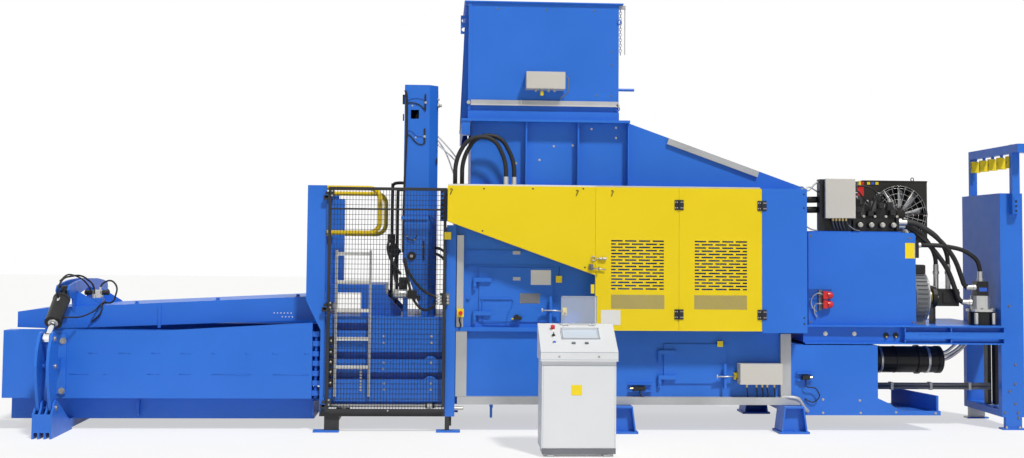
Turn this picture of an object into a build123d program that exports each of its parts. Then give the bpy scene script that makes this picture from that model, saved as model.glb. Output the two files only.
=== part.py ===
from build123d import *
import os
from math import atan2, cos, degrees, hypot, radians, sin, tan

os.makedirs("parts", exist_ok=True)

# Channel baler, millimetres, Z up. Bales leave towards -X and the near side is -Y.
# The origin is the centre of the four press feet, on the floor.

# Bale channel
bale_half = 550
floor_top = 300
floor_plate = 20
channel_wall = 200
channel_half = bale_half + channel_wall
channel_left = -6970
hinge_x = -3925
hinge_y = 690
hinge_pin_radius = 18
wall_low = 325
wall_high = 985
wall_gap = 35
base_left = channel_left + 30
base_right = hinge_x - 25
base_low = 100
web = 12
rib = 16
pin_play = 0.1
hose_sides = 6
face_play = 0.5

# Bale clamp
clamp_x = -6423
clamp_plate = 18
foot_step = 27
lever_offset = 56
lever_plate = 26
foot_pin = (-1127, 279)
mid_pin = (-1111, 668)
top_pin = (-1154, 933)
yoke_pin = (-640, 1375)
clamp_pin_radius = 22
mid_play = 6
eye_play = 5
eye_width = 56
barrel_radius = 80
rod_radius = 28
barrel_start = 215
barrel_end = 560
yoke_plate = 24
yoke_top = 1480

# Top press plate
plate_half = 515
plate_left = -6915
plate_mouth = -6618
plate_right = -3950
plate_pin_x = -3905
plate_pin_z = 1180

# Tying section
post_left = -4027
post_right = -3838
post_foot = -3878
post_top = 2446
post_front = 780
post_plate = 30
rear_post_left = -2635
rear_post_right = -2540
rear_post_top = 2060
leg_left = -3830
leg_width = 148
leg_right = leg_left + leg_width
rail_low = 155
rail_high = 200
tying_left = post_foot + 2
tying_right = -2560
tying_top = 1140
needle_pitch = 200
needle_count = 5
needle_thick = 20
needle_width = 70
needle_gap = 12
tower_left = -3082
tower_fold = -2826
tower_right = -2740
tower_half = 550
tower_high = 3500
tower_wall = 12
tower_corner = 90
carriage_low = 3000
carriage_high = 3150
needle_tip = 1500
shoe_play = 0.5

# Guard door
guard_left = -3815
guard_right = -2640
guard_low = 205
guard_high = 2430
guard_back = 812
guard_bar = 28
guard_depth = 24
guard_wire = 8
guard_columns = 6
guard_rows = 11
guard_hinge_radius = 14
guard_pin_radius = 6
guard_eye = 60
guard_hinge_levels = (285, 1240, 2350)
guard_pin_x = guard_left - 20
guard_pin_y = -(guard_back + guard_depth / 2)
rail_radius = 19
roller_x = -2790
roller_radius = 44
handrail_half = 700
handrail_right = -3310
handrail_low = 1975
handrail_high = 2425
handrail_bend = 110
ladder_left = -3740
ladder_right = -3380
ladder_low = 352
ladder_high = 1800
rung_count = 5
rung_pitch = 281
rung_first = 622

# Press body
press_half = 720
press_left = -2560
press_right = 975
press_low = 271
press_high = 1040
housing_left = 870
housing_right = 1781
housing_low = 165
housing_high = 875
tail_right = 2434
foot_x = 866
foot_y = 850
foot_hole_radius = 14
foot_top_half = 92
foot_low_half = 125
foot_plate = 22
ram_left = -800
ram_right = 700
ram_play = 10
ram_low = floor_top + face_play / 5
ram_high = 960
cylinder_y = 0
cylinder_z = 672
cylinder_radius = 142
cylinder_left = 820
cylinder_right = 2690
cylinder_bore = 110
ram_rod_radius = 70

# Pre-press chamber and hopper
chamber_high = 2480
shaft_left = -2400
shaft_right = -850
flap_pin_x = -780
flap_pin_z = 1130
flap_pin_radius = 30
flap_thick = 90
flap_length = 1330
hood_half = 620
hood_sheet = 10
hood_high = 3130
hood_shoulder = -784
hood_end = 1060
hopper_half = 650
hopper_left = -2437
hopper_right = -890
hopper_height = 1219
hopper_high = hood_high + hopper_height
hopper_sheet = 8
ledge_left = -2502
ledge_half = 750

# Casing
casing_front = 980
casing_left = -2632
casing_middle = -1160
casing_seam = -322
casing_right = 515
casing_high = 2450
casing_low = 1028
casing_corner = 2097
casing_slope_end = 1576
casing_sheet = 6
seam = 2
slot_rows = 16
slot_length = 114
slot_width = 15
slot_step = 138
slot_pitch = 31.7
slot_first_z = 1917
slot_margin = 157
door_hinge_radius = 9
hinge_front = -casing_front - door_hinge_radius - face_play
hinge_levels = (2230, 1142)
hinge_height = 100
hinge_split = 48
leaf_width = 45
leaf_thick = 8

# Inspection doors
upper_door_left = -2305
upper_door_right = -1560
upper_door_low = 1095
upper_door_high = 1640
lower_door_left = -428
lower_door_right = 215
lower_door_low = 484
lower_door_high = 880
door_plate = 14
door_pin_radius = 12
door_arm = 46
door_pin_y = -press_half - 24
door_knuckle = 92
door_knuckle_radius = 20
door_arm_reach = 123
door_arm_height = 41
upper_hinge_levels = (upper_door_low + 12, upper_door_low + 348)
lower_hinge_levels = (lower_door_low - 9, lower_door_low + 242)
latch_radius = 14

# Power unit
tank_left = 1100
tank_right = 2232
tank_low = 1075
tank_high = 2030
tank_front = -600
tank_back = -120
tank_corner = 40
platform_left = 1035
platform_low = 885
platform_half = 700
beam_web = 12
flange = 14
cooler_left = 1875
cooler_right = 2595
cooler_low = 1885
cooler_high = 2603
cooler_front = 0
cooler_depth = 220
fan_x = 2270
fan_z = 2242
fan_radius = 290
fan_hub = 60
shaft_z = 1360
shaft_y = -300
motor_radius = 280
motor_left = 2250
motor_right = 2390
bell_right = 2420
coupling_radius = 75
coupling_right = 2500
pump_right = 2775
pump_ports = (2565, 2695)
port_high = 1600
filter_x = 2985
filter_y = -440

# Wire stand
stand_left = 3140
stand_right = 3380
stand_near = -587
stand_far = 360
stand_low = 130
stand_high = 2455
stand_sheet = 10
stand_leg = 80
pulley_x = 3270
pulley_z = 2780
pulley_radius = 44
pulley_count = 5
pulley_first_y = 290
pulley_pitch = 215
pulley_thick = 22
guard_sheet = 6
pulley_bore = 8
bar_low = 2872
bar_high = 2960

# Console
console_x = -1457
console_half = 331
console_front = -2247
console_back = -1850
console_lip = 345
console_lip_low = 841
console_lip_high = 925
console_high = 1150
panel_front = -2275
panel_back = -1900


def side_plane(y):
    return Plane.XZ.offset(-y)


def cross_plane(x):
    return Plane.YZ.offset(x)


def block(low, high, mode=Mode.ADD):
    size = [b - a for a, b in zip(low, high)]
    centre = [(a + b) / 2 for a, b in zip(low, high)]
    with Locations(tuple(centre)):
        Box(*size, mode=mode)


def slab(plane, outline, thickness, mode=Mode.ADD):
    with BuildSketch(plane) as profile:
        Polygon(*outline)
    extrude(profile.sketch, amount=thickness, mode=mode)


def add_round(radius, hole, mode=Mode.ADD):
    """Round outline with few sides: a bar's corners, or the middles of a hole's sides, lie on the radius."""
    sides = 8 if radius < 20 else 12 if radius < 60 else 16 if radius < 120 else 24
    if hole:
        RegularPolygon(radius, sides, major_radius=False, rotation=180 / sides, mode=mode)
    else:
        RegularPolygon(radius, sides, mode=mode)


def bar(start, end, radius, mode=Mode.ADD):
    run = Vector(*end) - Vector(*start)
    with BuildSketch(Plane(origin=start, z_dir=run)) as section:
        add_round(radius, mode == Mode.SUBTRACT)
    extrude(section.sketch, amount=run.length, mode=mode)


def drill(start, end, radius):
    run = Vector(*end) - Vector(*start)
    with BuildSketch(Plane(origin=start, z_dir=run)) as section:
        Circle(radius)
    extrude(section.sketch, amount=run.length, mode=Mode.SUBTRACT)


def ring(start, end, radius, bore, mode=Mode.ADD):
    run = Vector(*end) - Vector(*start)
    with BuildSketch(Plane(origin=start, z_dir=run)) as section:
        add_round(radius, False)
        add_round(bore, True, mode=Mode.SUBTRACT)
    extrude(section.sketch, amount=run.length, mode=mode)


def bend_radii(points, share=0.45):
    """Radius of each corner: a share of the shorter run over the tangent of half the turn."""
    radii = []
    for before, corner, after in zip(points, points[1:], points[2:]):
        first = Vector(*corner) - Vector(*before)
        second = Vector(*after) - Vector(*corner)
        turn = radians(first.get_angle(second))
        radii.append(share * min(first.length, second.length) / tan(turn / 2))
    return radii


def hose(points, radius):
    radii = bend_radii(points)
    with BuildLine() as route:
        FilletPolyline(*points, radius=radii)
    path = route.wires()[0]
    with BuildSketch(Plane(origin=path @ 0, z_dir=path % 0)) as section:
        RegularPolygon(radius, hose_sides)
    sweep(section.sketch, path=path)
    print("hose", round(path.length), "mm long, radii", [round(r) for r in radii])


def add_door_hinge(x, level):
    """Fixed hinge block of an inspection door, with its upright pin."""
    block((x - 14, door_pin_y - 10, level - 30), (x + 14, -press_half, level))
    bar((x, door_pin_y, level), (x, door_pin_y, level + door_knuckle), door_pin_radius)


def add_leaf(x, direction, level, low, high):
    """Hinge leaf on the casing's face, with its knuckle between two heights of the hinge."""
    leaf_end = x + direction * leaf_width
    start = x + direction * (door_hinge_radius + face_play)
    low_x, high_x = sorted((start, leaf_end))
    block((low_x, -casing_front - leaf_thick, level), (high_x, -casing_front, level + hinge_height))
    low_x, high_x = sorted((x, start))
    block((low_x, hinge_front - 4, level + low), (high_x, hinge_front + 4, level + high))
    bar((x, hinge_front, level + low), (x, hinge_front, level + high), door_hinge_radius)


def save(piece, name):
    piece.part.label = name
    export_step(piece.part, f"parts/{name}.step")


# Bale channel base with the two clamp feet
foot_outline = [
    (-1255, 0), (-1255, 232), (-1202, 279), (-1190, 330), (-1127, 354), (-1075, 335), (-690, 112),
    (-580, 0),
]
foot_plates = [clamp_x + side * lever_offset + step for side in (-1, 1) for step in (-foot_step, foot_step)]
base_half = bale_half - 10
cover_low = 60
with BuildPart() as channel_base:
    block((base_left, -base_half, floor_top - floor_plate), (tying_left, base_half, floor_top))
    for side in (-1, 1):
        edge = side * base_half
        inner = side * (base_half - web)
        block(
            (base_left, min(edge, inner), base_low),
            (base_right, max(edge, inner), floor_top - floor_plate),
        )
        for x in (-5696, base_right - rib):
            rib_outline = [
                (edge, 120), (side * (base_half + 70), 150), (side * (base_half + 70), 285),
                (edge, 285),
            ]
            slab(cross_plane(x), rib_outline, rib)
        for x in foot_plates:
            plate_outline = [(-side * y, z) for y, z in foot_outline]
            slab(cross_plane(x - clamp_plate / 2), plate_outline, clamp_plate)
        front = side * 1255
        back = side * 1240
        left = foot_plates[0] - clamp_plate / 2
        right = foot_plates[-1] + clamp_plate / 2
        block((left, min(front, back), cover_low), (right, max(front, back), 232))
        pin_y = -side * foot_pin[0]
        bar((left, pin_y, foot_pin[1]), (right, pin_y, foot_pin[1]), clamp_pin_radius)
    for x in (base_left, -5600, base_right - rib):
        block((x, -base_half, base_low), (x + rib, base_half, floor_top - floor_plate))
    block(
        (foot_plates[0] - clamp_plate / 2, -660, 20),
        (foot_plates[-1] + clamp_plate / 2, 660, base_low + web),
    )
save(channel_base, "channel_base")


# Side walls on vertical knuckle hinges, with the lug and strap of the clamp lever
knuckle_levels = (350, 545, 740, 935)
knuckle_height = 50
wedge_left = -5500
wedge_rise = 90
wedge_plate = 20
wall_right = hinge_x - wall_gap
lug_half = 19
with_lug_top = 720
strap_left = -6450
strap_right = -6355


def side_wall(side):
    outer = side * channel_half
    inner = side * bale_half
    pin_y = side * hinge_y
    with BuildPart() as wall:
        block((channel_left, min(outer, inner), wall_low), (wall_right, max(outer, inner), wall_high))
        for level in knuckle_levels:
            block((wall_right, pin_y - 32, level), (hinge_x + 32, pin_y + 32, level + knuckle_height))
        reach = side * 1150
        block(
            (clamp_x - lug_half, min(outer, reach), 610),
            (clamp_x + lug_half, max(outer, reach), with_lug_top),
        )
        mid_y = -side * mid_pin[0]
        bar(
            (clamp_x - lug_half, mid_y, mid_pin[1]),
            (clamp_x + lug_half, mid_y, mid_pin[1]),
            clamp_pin_radius + mid_play,
            mode=Mode.SUBTRACT,
        )
        bar(
            (hinge_x, pin_y, wall_low),
            (hinge_x, pin_y, wall_high + 20),
            hinge_pin_radius + pin_play,
            mode=Mode.SUBTRACT,
        )
        wedge = [(wedge_left, wall_high), (wall_right, wall_high), (wall_right, wall_high + wedge_rise)]
        slab(side_plane(max(outer, outer - side * wedge_plate)), wedge, wedge_plate)
        strap = side * (channel_half + 20)
        block((strap_left, min(outer, strap), 368), (strap_right, max(outer, strap), 950))
    return wall


side_wall_near = side_wall(-1)
save(side_wall_near, "side_wall_near")
side_wall_far = side_wall(1)
save(side_wall_far, "side_wall_far")


# Clamp levers: two curved plates with the middle and the top pin
lever_outline = [
    (-1160, 215), (-1205, 262), (-1262, 420), (-1300, 560), (-1318, 690), (-1296, 830), (-1240, 952),
    (-1200, 992), (
        -1150, 1000,
    ), (-1092, 962), (-1048, 880), (-1028, 760), (-1036, 560), (-1076, 330), (-1096, 225),
]


def clamp_lever(side):
    with BuildPart() as lever:
        for offset in (-lever_offset, lever_offset):
            outline = [(-side * y, z) for y, z in lever_outline]
            slab(cross_plane(clamp_x + offset - lever_plate / 2), outline, lever_plate)
        outer = lever_offset + lever_plate / 2
        foot_y = -side * foot_pin[0]
        start = (clamp_x - outer - 1, foot_y, foot_pin[1])
        end = (clamp_x + outer + 1, foot_y, foot_pin[1])
        bar(start, end, clamp_pin_radius + pin_play, mode=Mode.SUBTRACT)
        for y, z in (mid_pin, top_pin):
            bar((clamp_x - outer, -side * y, z), (clamp_x + outer, -side * y, z), clamp_pin_radius)
    return lever


clamp_lever_near = clamp_lever(-1)
save(clamp_lever_near, "clamp_lever_near")
clamp_lever_far = clamp_lever(1)
save(clamp_lever_far, "clamp_lever_far")


# Clamp cylinders: barrel on the yoke pin, rod eye on the lever's top pin
clamp_run = hypot(yoke_pin[0] - top_pin[0], yoke_pin[1] - top_pin[1])
clamp_dir = ((yoke_pin[0] - top_pin[0]) / clamp_run, (yoke_pin[1] - top_pin[1]) / clamp_run)


def along_clamp(distance, side):
    y = top_pin[0] + clamp_dir[0] * distance
    return (clamp_x, -side * y, top_pin[1] + clamp_dir[1] * distance)


def clamp_barrel(side):
    with BuildPart() as barrel:
        bar(along_clamp(barrel_start, side), along_clamp(barrel_end, side), barrel_radius)
        pin_y = -side * yoke_pin[0]
        bar(along_clamp(barrel_end, side), along_clamp(clamp_run, side), 28)
        bar((clamp_x - 30, pin_y, yoke_pin[1]), (clamp_x + 30, pin_y, yoke_pin[1]), 48)
        bore = clamp_pin_radius + pin_play
        bar((clamp_x - 40, pin_y, yoke_pin[1]), (clamp_x + 40, pin_y, yoke_pin[1]), bore, mode=Mode.SUBTRACT)
        rod_bore = rod_radius + pin_play
        bar(along_clamp(barrel_start, side), along_clamp(barrel_end - 40, side), rod_bore, mode=Mode.SUBTRACT)
    return barrel


def clamp_rod(side):
    with BuildPart() as rod:
        bar(along_clamp(40, side), along_clamp(barrel_end - 150, side), rod_radius)
        eye_y = -side * top_pin[0]
        bar((clamp_x - eye_width / 2, eye_y, top_pin[1]), (clamp_x + eye_width / 2, eye_y, top_pin[1]), 52)
        bore = clamp_pin_radius + eye_play
        bar((clamp_x - 40, eye_y, top_pin[1]), (clamp_x + 40, eye_y, top_pin[1]), bore, mode=Mode.SUBTRACT)
    return rod


for side_name, side in (("near", -1), ("far", 1)):
    save(clamp_barrel(side), f"clamp_cylinder_{side_name}")
    save(clamp_rod(side), f"clamp_rod_{side_name}")


# Top press plate with its arched yoke
plate_outline = [
    (plate_left, 1000), (plate_left, 1155), (plate_mouth, 1195), (plate_right, 1330),
    (plate_right, 1093), (plate_mouth + 150, 990), (plate_mouth, 990),
]
plate_lugs = (-460, -160, 160, 460)
arch_outline = [
    (-560, 1290), (-690, 1300), (-722, 1380), (-690, 1425), (-538, 1450), (-300, 1472),
    (0, yoke_top),
]
with BuildPart() as top_plate:
    with BuildSketch(side_plane(plate_half)) as plate_profile:
        Polygon(*plate_outline)
    extrude(plate_profile.sketch, amount=2 * plate_half)
    for lug_y in plate_lugs:
        nose = plate_pin_x + 36
        lug_outline = [
            (plate_right, 1100), (plate_right, 1260), (nose, plate_pin_z + 32),
            (nose, plate_pin_z - 32),
        ]
        slab(side_plane(lug_y + 20), lug_outline, 40)
        bore = hinge_pin_radius + pin_play
        bar(
            (plate_pin_x, lug_y - 21, plate_pin_z),
            (plate_pin_x, lug_y + 21, plate_pin_z),
            bore,
            mode=Mode.SUBTRACT,
        )
    outer_arch = [(-plate_half, 1150)] + arch_outline
    inner_arch = [(0, 1395), (-330, 1340), (-380, 1280), (-380, 1150)]
    half_arch = outer_arch + inner_arch
    for offset in (-lever_offset, lever_offset):
        for side in (-1, 1):
            outline = [(-side * y, z) for y, z in half_arch]
            slab(cross_plane(clamp_x + offset - yoke_plate / 2), outline, yoke_plate)
    for side in (-1, 1):
        pin_y = side * -yoke_pin[0]
        reach = lever_offset + yoke_plate / 2
        bar((clamp_x - reach, pin_y, yoke_pin[1]), (clamp_x + reach, pin_y, yoke_pin[1]), clamp_pin_radius)
        gusset_left = clamp_x + lever_offset + yoke_plate / 2
        gusset = [
            (gusset_left, 1365), (gusset_left + 225, 1230), (gusset_left + 225, 1200),
            (gusset_left, 1200),
        ]
        slab(side_plane(side * 450 + 8), gusset, 16)
    block((clamp_x - lever_offset, -520, 1300), (clamp_x + lever_offset, -500, 1420))
    block((clamp_x - lever_offset, 500, 1300), (clamp_x + lever_offset, 520, 1420))
    block((-6260, -420, 1190), (-6120, -300, 1290))
save(top_plate, "top_plate")


# Clamp hoses: loops between the plate's valve and the near cylinder
with BuildPart() as clamp_hoses:
    hose(
        [
            (-6200, -400, 1290), (-6200, -400, 1420), (-6290, -540, 1530), (-6400, -795, 1505),
            (-6423, -908, 1384), (-6423, -847, 1311),
        ],
        9,
    )
    hose(
        [
            (-6160, -330, 1290), (-6160, -330, 1430), (-6050, -335, 1480), (-5980, -340, 1400),
            (-6020, -345, 1240), (-6120, -345, 1240),
        ],
        9,
    )
save(clamp_hoses, "clamp_hoses")


# Portal frame of the tying section, with legs and floor rail
front_post = [
    (post_left, post_top), (post_right, post_top), (post_right, 1104), (post_foot + 55, 1005),
    (post_foot + 55, rail_low), (post_foot, rail_low), (post_foot, 1005), (post_left, 1300),
]
with BuildPart() as tying_frame:
    for side in (-1, 1):
        face = side * post_front
        slab(side_plane(max(face, face - side * post_plate)), front_post, post_plate)
        inner = side * (post_front - post_plate)
        back = side * (post_front - 130)
        block((post_left, min(inner, back), 1340), (post_left + 14, max(inner, back), post_top))
        rear = [(rear_post_left, rail_low), (rear_post_right, rail_low), (rear_post_right, rear_post_top),
                (rear_post_left, rear_post_top)]
        slab(side_plane(max(face, face - side * post_plate)), rear, post_plate)
        low = min(face, face - side * post_plate)
        high = max(face, face - side * post_plate)
        block((post_foot + 50, low, 20), (leg_right, high, rail_low + 62))
        block((rear_post_left, low, 20), (rear_post_left + 45, high, rail_low))
        block((post_foot + 55, low, rail_low), (rear_post_left, high, rail_high))
        block((-3935, low - 35, 0), (-3680, high + 35, 20))
        block((-2720, low - 35, 0), (-2482, high + 35, 20))
        rail_y = side * (post_front - post_plate - 50)
        bar((post_foot + 55, rail_y, 252), (rear_post_left, rail_y, 252), rail_radius)
        block((post_foot + 55, min(rail_y, inner) - 22, 200), (post_foot + 85, max(rail_y, inner) + 22, 300))
        block(
            (rear_post_left - 30, min(rail_y, inner) - 22, 200),
            (rear_post_left, max(rail_y, inner) + 22, 300),
        )
    for level in guard_hinge_levels:
        low = (guard_pin_x - guard_hinge_radius, guard_pin_y - guard_hinge_radius, level - 30)
        high = (guard_pin_x + guard_hinge_radius, -post_front, level - face_play)
        block(low, high)
        bar(
            (guard_pin_x, guard_pin_y, level - 10),
            (guard_pin_x, guard_pin_y, level + guard_eye),
            guard_pin_radius,
        )
    for x in (leg_left + 60, rear_post_left + 5):
        block((x, -post_front + post_plate, 60), (x + 60, post_front - post_plate, 140))
save(tying_frame, "tying_frame")

with BuildPart() as guide_roller:
    roller_y = -(post_front - post_plate - 50)
    ring(
        (roller_x - 22, roller_y, 252),
        (roller_x + 22, roller_y, 252),
        roller_radius,
        rail_radius + pin_play,
    )
save(guide_roller, "guide_roller")


# Tying channel: ribbed side beams, floor and top with needle slots, and the fixed hinge knuckles
needle_x = (tower_left + tower_right) / 2
needle_rows = [(n - (needle_count - 1) / 2) * needle_pitch for n in range(needle_count)]
channel_ceiling = 1090
recess_bands = ((715, 791), (516, 589))
with BuildPart() as tying_channel:
    block((tying_left, -bale_half - 90, floor_top - 40), (tying_right, bale_half + 90, floor_top))
    block((tying_left, -channel_half, channel_ceiling), (tying_right, channel_half, tying_top))
    for side in (-1, 1):
        outer = side * channel_half
        inner = side * bale_half
        block((tying_left, min(outer, inner), floor_top), (tying_right, max(outer, inner), channel_ceiling))
        for low, high in recess_bands:
            deep = side * (channel_half - 110)
            edge = side * (channel_half + 1)
            block(
                (tying_left + 60, min(edge, deep), low),
                (tying_right - 40, max(edge, deep), high),
                mode=Mode.SUBTRACT,
            )
            bump = [(-2850, low - 1), (-2810, low + 34), (-2760, low + 34), (-2720, low - 1)]
            slab(side_plane(max(outer, outer - side * 60)), bump, 60)
        ladder_recess = side * (channel_half - 110)
        edge = side * (channel_half + 1)
        block(
            (-3740, min(edge, ladder_recess), 999),
            (-3400, max(edge, ladder_recess), 1077),
            mode=Mode.SUBTRACT,
        )
        pin_y = side * hinge_y
        for level in (450, 645, 840):
            block((hinge_x - 32, pin_y - 32, level), (tying_left, pin_y + 32, level + knuckle_height))
        bar((hinge_x, pin_y, wall_low), (hinge_x, pin_y, wall_high), hinge_pin_radius)
    for row_y in needle_rows:
        half_slot = needle_thick / 2 + needle_gap
        low = (needle_x - needle_width / 2 - needle_gap, row_y - half_slot, channel_ceiling - 1)
        high = (needle_x + needle_width / 2 + needle_gap, row_y + half_slot, tying_top + 1)
        block(low, high, mode=Mode.SUBTRACT)
        low = (needle_x - needle_width / 2 - needle_gap, row_y - half_slot, floor_top - 41)
        high = (needle_x + needle_width / 2 + needle_gap, row_y + half_slot, floor_top + 1)
        block(low, high, mode=Mode.SUBTRACT)
    for lug_y in (-310, 0, 310):
        nose = plate_pin_x - 36
        lug = [
            (tying_left + 25, 1120), (tying_left + 25, 1232), (nose, plate_pin_z + 32),
            (nose, plate_pin_z - 32),
        ]
        slab(side_plane(lug_y + 20), lug, 40)
    block((tying_left + 25, -500, tying_top), (tying_left + 45, 500, 1232))
    bar((plate_pin_x, -485, plate_pin_z), (plate_pin_x, 485, plate_pin_z), hinge_pin_radius)
    block((-3500, -480, tying_top), (-3261, 480, 1366))
    block((-3826, -480, 1366), (-3261, 480, 1448))
    block((-3820, -260, 1448), (-3700, -140, 2330))
    slab(side_plane(-440), [(-3260, 1370), (-3090, 1190), (-3090, tying_top), (-3260, tying_top)], 40)
    slab(side_plane(480), [(-3260, 1370), (-3090, 1190), (-3090, tying_top), (-3260, tying_top)], 40)
save(tying_channel, "tying_channel")


# Needle tower with a folded corner and a window
with BuildPart() as needle_tower:
    outer_plan = [
        (tower_left, -tower_half), (tower_fold, -tower_half), (tower_right, -tower_half + tower_corner),
        (tower_right, tower_half), (tower_left, tower_half),
    ]
    slab(Plane.XY.offset(tying_top), outer_plan, tower_high - tying_top)
    inner_plan = [
        (tower_left + tower_wall, -tower_half + tower_wall), (tower_fold - 5, -tower_half + tower_wall),
        (
            tower_right - tower_wall, -tower_half + tower_corner + 4,
        ), (tower_right - tower_wall, tower_half - tower_wall),
        (tower_left + tower_wall, tower_half - tower_wall),
    ]
    slab(Plane.XY.offset(tying_top), inner_plan, tower_high - tying_top - tower_wall, mode=Mode.SUBTRACT)
    block((-3018, -tower_half - 1, 3150), (-2935, -tower_half + tower_wall + 1, 3242), mode=Mode.SUBTRACT)
    cut = [
        (tower_left - 1, 1690), (tower_left - 1, tying_top - 1), (-2885, tying_top - 1),
        (-2885, tying_top + 40),
    ]
    slab(side_plane(tower_half + 1), cut, 2 * tower_half + 2, mode=Mode.SUBTRACT)
    block((tower_left - 20, -tower_half - 20, 2118), (tower_fold, -tower_half, 2150))
    for side in (-1, 1):
        inner = side * (tower_half - tower_wall)
        guide = side * (tower_half - tower_wall - 26)
        block(
            (needle_x - 20, min(inner, guide), 1720),
            (needle_x + 20, max(inner, guide), tower_high - tower_wall),
        )
save(needle_tower, "needle_tower")

with BuildPart() as needle_carriage:
    guide_face = tower_half - tower_wall - 26
    block(
        (needle_x - 90, -guide_face + shoe_play, carriage_low),
        (needle_x + 90, guide_face - shoe_play, carriage_high),
    )
    block((needle_x - 60, -420, carriage_low + 30), (needle_x + 60, 420, carriage_high + 60))
    for row_y in needle_rows:
        half = needle_width / 2
        outline = [
            (needle_x - half, carriage_low), (needle_x + half, carriage_low), (
                needle_x + half, needle_tip + 60,
            ),
            (needle_x, needle_tip), (needle_x - half, needle_tip + 160),
        ]
        slab(side_plane(row_y + needle_thick / 2), outline, needle_thick)
save(needle_carriage, "needle_carriage")


# Guard door: frame, mesh ridges and the three hinge eyes
with BuildPart() as guard_door:
    with BuildSketch(side_plane(-guard_back)) as door_frame:
        with Locations(((guard_left + guard_right) / 2, (guard_low + guard_high) / 2)):
            Rectangle(guard_right - guard_left, guard_high - guard_low)
            Rectangle(
                guard_right - guard_left - 2 * guard_bar,
                guard_high - guard_low - 2 * guard_bar,
                mode=Mode.SUBTRACT,
            )
    extrude(door_frame.sketch, amount=guard_depth)
    clear_width = guard_right - guard_left - 2 * guard_bar
    clear_height = guard_high - guard_low - 2 * guard_bar
    column_pitch = clear_width / guard_columns
    row_pitch = clear_height / guard_rows
    with BuildSketch(side_plane(-guard_back - 8)) as mesh:
        with Locations(((guard_left + guard_right) / 2, (guard_low + guard_high) / 2)):
            Rectangle(clear_width + 10, clear_height + 10)
            with GridLocations(column_pitch, row_pitch, guard_columns, guard_rows):
                Rectangle(column_pitch - guard_wire, row_pitch - guard_wire, mode=Mode.SUBTRACT)
    extrude(mesh.sketch, amount=guard_wire)
    for level in guard_hinge_levels:
        low = (guard_pin_x - guard_hinge_radius, -guard_back - guard_depth, level)
        block(low, (guard_left + 10, -guard_back, level + guard_eye))
        bar(
            (guard_pin_x, guard_pin_y, level - 1),
            (guard_pin_x, guard_pin_y, level + guard_eye + 1),
            guard_pin_radius + pin_play,
            mode=Mode.SUBTRACT,
        )
save(guard_door, "guard_door")


# Handrails and ladder of the tying section
with BuildPart() as handrails:
    for y in (-handrail_half, handrail_half):
        start_x = post_left + 14
        corners = [(start_x, y, handrail_high), (handrail_right, y, handrail_high),
                   (handrail_right, y, handrail_low), (start_x, y, handrail_low)]
        with BuildLine() as loop:
            FilletPolyline(*corners, radius=handrail_bend)
        rail_path = loop.wires()[0]
        with BuildSketch(Plane(origin=rail_path @ 0, z_dir=rail_path % 0)) as tube:
            RegularPolygon(24, 10)
        sweep(tube.sketch, path=rail_path)
    for side in (-1, 1):
        y = side * handrail_half
        post = side * (post_front - 60)
        block((start_x, min(y, post), handrail_low - 60), (start_x + 30, max(y, post), handrail_low - 20))
        block((start_x, y - 20, handrail_low - 60), (start_x + 30, y + 20, handrail_high))
save(handrails, "handrails")

ladder_front = -(channel_half + 48)
ladder_back = -channel_half
with BuildPart() as ladder:
    for x in (ladder_left, ladder_right - 24):
        block((x, ladder_front, ladder_low), (x + 24, ladder_front + 30, ladder_high))
        block((x, ladder_front + 30, 380), (x + 24, ladder_back, 420))
        block((x, ladder_front + 30, 1092), (x + 24, ladder_back, 1130))
    for n in range(rung_count):
        z = rung_first + n * rung_pitch
        block((ladder_left + 24, ladder_front + 2, z), (ladder_right - 24, ladder_front + 28, z + 34))
save(ladder, "ladder")


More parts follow.
